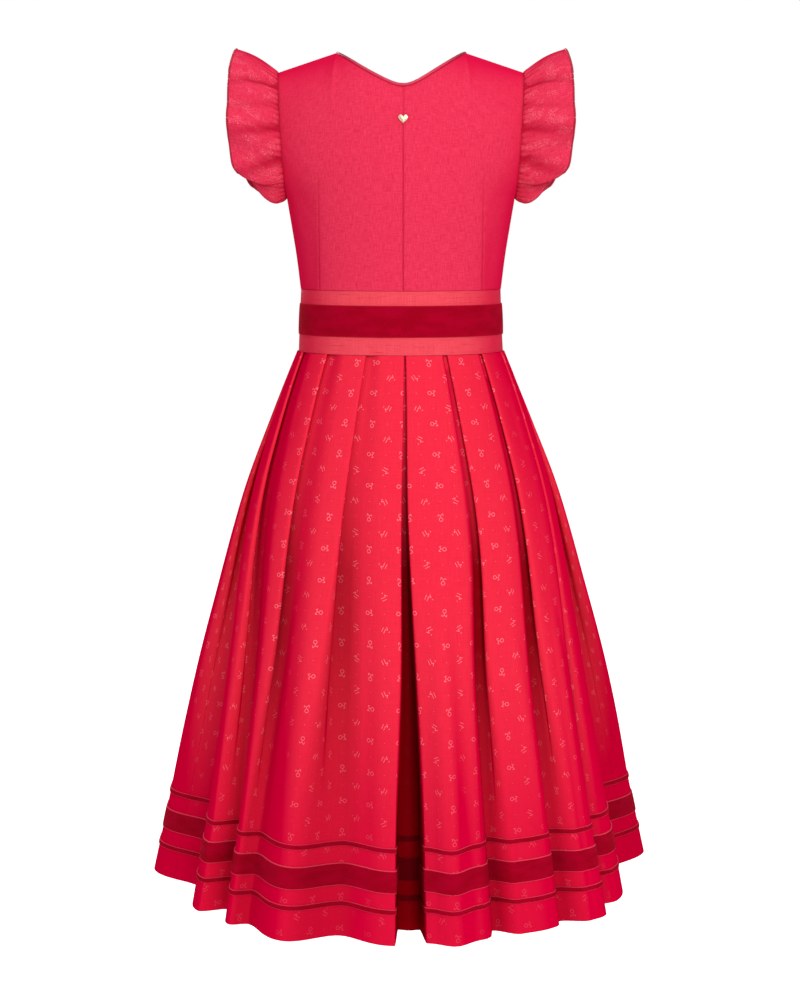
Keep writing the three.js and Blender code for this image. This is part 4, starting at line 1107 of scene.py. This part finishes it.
flip = worked(tree, "MULTIPLY_ADD", worked(tree, "GREATER_THAN", second_chance, 0.5), 2.0, -1.0)
flip_both = shader_node(tree, "ShaderNodeCombineXYZ", X=flip, Y=1.0, Z=0.0).outputs[0]
motif_place = vector_worked(tree, "MULTIPLY", spun, flip_both)


def nearest_line(lines):
    """The distance to the nearest stroke of some lines, each a run of points."""
    best = 99.0
    for line in lines:
        for start, end in zip(line[:-1], line[1:]):
            stroke = shader_node(tree, "ShaderNodeGroup", {"node_tree": stroke_group}, Point=motif_place,
                                 From=(*start, 0.0), To=(*end, 0.0))
            best = worked(tree, "MINIMUM", best, stroke.outputs["Distance"])
    return best


from_centre = vector_worked(tree, "DISTANCE", motif_place, SPRIG_RING_CENTRE)
from_ring = worked(tree, "ABSOLUTE", worked(tree, "SUBTRACT", from_centre, SPRIG_RING_RADIUS))
sprig = worked(tree, "MINIMUM", from_ring, nearest_line(SPRIG_LINES))
bundle = nearest_line(BUNDLE_LINES)
dot = vector_worked(tree, "LENGTH", motif_place)
numbers = shader_node(tree, "ShaderNodeSeparateXYZ", Vector=square_number)
odd_column = worked(tree, "FLOORED_MODULO", numbers.outputs["X"], 2.0)
odd_row = worked(tree, "FLOORED_MODULO", numbers.outputs["Y"], 2.0)
is_bundle = worked(tree, "MULTIPLY", odd_column, odd_row)
is_sprig = worked(tree, "SUBTRACT", 1.0, worked(tree, "MAXIMUM", odd_column, odd_row))
motif_gap = dot
for motif, chosen in ((sprig, is_sprig), (bundle, is_bundle)):
    motif_gap = worked(tree, "MULTIPLY_ADD", chosen, worked(tree, "SUBTRACT", motif, dot), motif_gap)
inner_edge = worked(tree, "MULTIPLY", print_in.outputs["Line"], 0.7)
outer_edge = worked(tree, "MULTIPLY", print_in.outputs["Line"], 1.5)
tree.links.new(ramped(tree, motif_gap, inner_edge, outer_edge, 1.0, 0.0), print_out.inputs["Ink"])


def printed_cotton(name, print_share, light, dark):
    """Cotton satin with the sprig print and painted shade. print_share is how strongly the print shows."""
    cotton = new_material(name, light, 0.5, sheen_weight=0.0, specular_ior_level=0.0)
    tree = cotton.node_tree
    tone, height = yarns(tree, 0.7, 22.0)
    colour = blended(tree, ramped(tree, tone, 0.34, 0.66), dark, light)
    printed = shader_node(tree, "ShaderNodeGroup", {"node_tree": print_group}, Cloth=cloth_place(tree),
                          Line=PRINT_LINE)
    worn = ramped(tree, cloth_noise(tree, 1.6, 1.6), 0.25, 0.5, 0.65, 1.0)
    ink = worked(tree, "MULTIPLY", printed.outputs["Ink"], worked(tree, "MULTIPLY", worn, print_share))
    colour = blended(tree, ink, colour, (0.96, 0.21, 0.26))
    # Painted shade: the cotton darkens towards the hem and where it turns away from the eye.
    level = shader_node(tree, "ShaderNodeSeparateXYZ", Vector=object_place(tree)).outputs["Z"]
    low = ramped(tree, level, -0.97, -0.66, 0.75, 0.0)
    painted_falloff = worked(tree, "ADD", ramped(tree, facing(tree), 0.04, 0.62), low, clamped=True)
    colour = blended(tree, painted_falloff, colour, (0.63, 0.0, 0.035))
    # Painted shade inside the folds.
    paint(tree, blended(tree, mask_of(tree, "painted_fold_shade"), colour, (0.21, 0.0, 0.002)))
    bump_on(tree, height, 0.2, 0.0004)
    return cotton


cotton_face = printed_cotton("printed_cotton", 0.85, (0.820, 0.026, 0.057), (0.765, 0.019, 0.047))
cotton_wrong = printed_cotton("printed_cotton_wrong_side", 0.18, (0.820, 0.020, 0.055),
                              (0.760, 0.014, 0.048))

hem_level, waist_level = SKIRT_LEVELS[-1, 0], SKIRT_LEVELS[0, 0]
skirt_heights = np.concatenate([np.linspace(hem_level, -430, 66)[:-1], np.linspace(-430, waist_level, 14)])
ring, ring_shade = skirt_ring(skirt_heights)
flat = flat_skirt(ring)
skirt_half = SKIRT_CLOTH / 2 * normals_of(ring, True, True)
per_fold = len(FOLD_SHARES) + len(PANEL_SHARES)
seam_column = int(np.argmin(np.abs(FOLD_SHARES - SEAM_SHARE)))
left_seam = LEFT_SEAM_FOLD * per_fold + seam_column
right_seam = RIGHT_SEAM_FOLD * per_fold + len(FOLD_SHARES) - 1 - seam_column


def panel_of(values, first, last, around=0):
    """The columns from one side seam to the next. around is added after the centre front, where a ring's
    columns start again."""
    if last > first:
        return values[:, first:last + 1]
    return np.concatenate([values[:, first:], values[:, :last + 1] + around], 1)


def short_of_seam(grid):
    """The panel with both its side edges pulled back by half a seam gap."""
    grid = grid.copy()
    for edge, beside in ((0, 1), (-1, -2)):
        grid[:, edge] += unit(grid[:, beside] - grid[:, edge]) * SEAM_GAP / 2
    return grid


around = np.array([flat[0, -1, 0] - flat[0, 0, 0], 0.0])
for name, first, last in (("skirt_back", left_seam, right_seam), ("skirt_front", right_seam, left_seam)):
    outer = short_of_seam(panel_of(ring + skirt_half, first, last))
    inner = short_of_seam(panel_of(ring - skirt_half, first, last))
    panel_flat = panel_of(flat[:, :-1], first, last, around)
    panel_shade = panel_of(ring_shade, first, last)
    panel = wall_object(name, outer, inner, panel_flat, [cotton_face, cotton_wrong],
                        marks={"painted_fold_shade": panel_shade})
    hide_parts(name)


# ---------------------------------------------------------------- hem ribbons
# Three velvet ribbons are sewn round the skirt above its hem, a wide one between two narrow ones. Their
# selvedges show as thin light lines.
HEM_RIBBONS = [("hem_ribbon_lower", 34.0, 39.5), ("hem_ribbon_wide", 57.0, 82.0),
               ("hem_ribbon_upper", 101.0, 106.5)]
for name, bottom, top in HEM_RIBBONS:
    rows = 9 if top - bottom > 10 else 5
    middle, shade = skirt_ring(hem_level + np.linspace(bottom, top, rows))
    outward = normals_of(middle, True, True)
    clearance = SKIRT_CLOTH / 2 + SEAM_GAP
    pile = 0.25 * np.sin(np.linspace(0, np.pi, rows))[:, None, None] ** 0.5
    velvet = velvet_material("velvet_" + name, top - bottom, (0.72, 0.045, 0.09),
                             0.42 if top - bottom > 10 else 0.12)
    outer, inner = middle + (clearance + RIBBON_CLOTH + pile) * outward, middle + clearance * outward
    # The ribbons carry the painted shade of the skirt's folds under them.
    ribbon = wall_object(name, outer, inner, ring_flat(middle), [velvet], closed=True, marks={"painted_fold_shade": shade})
    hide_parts(name)
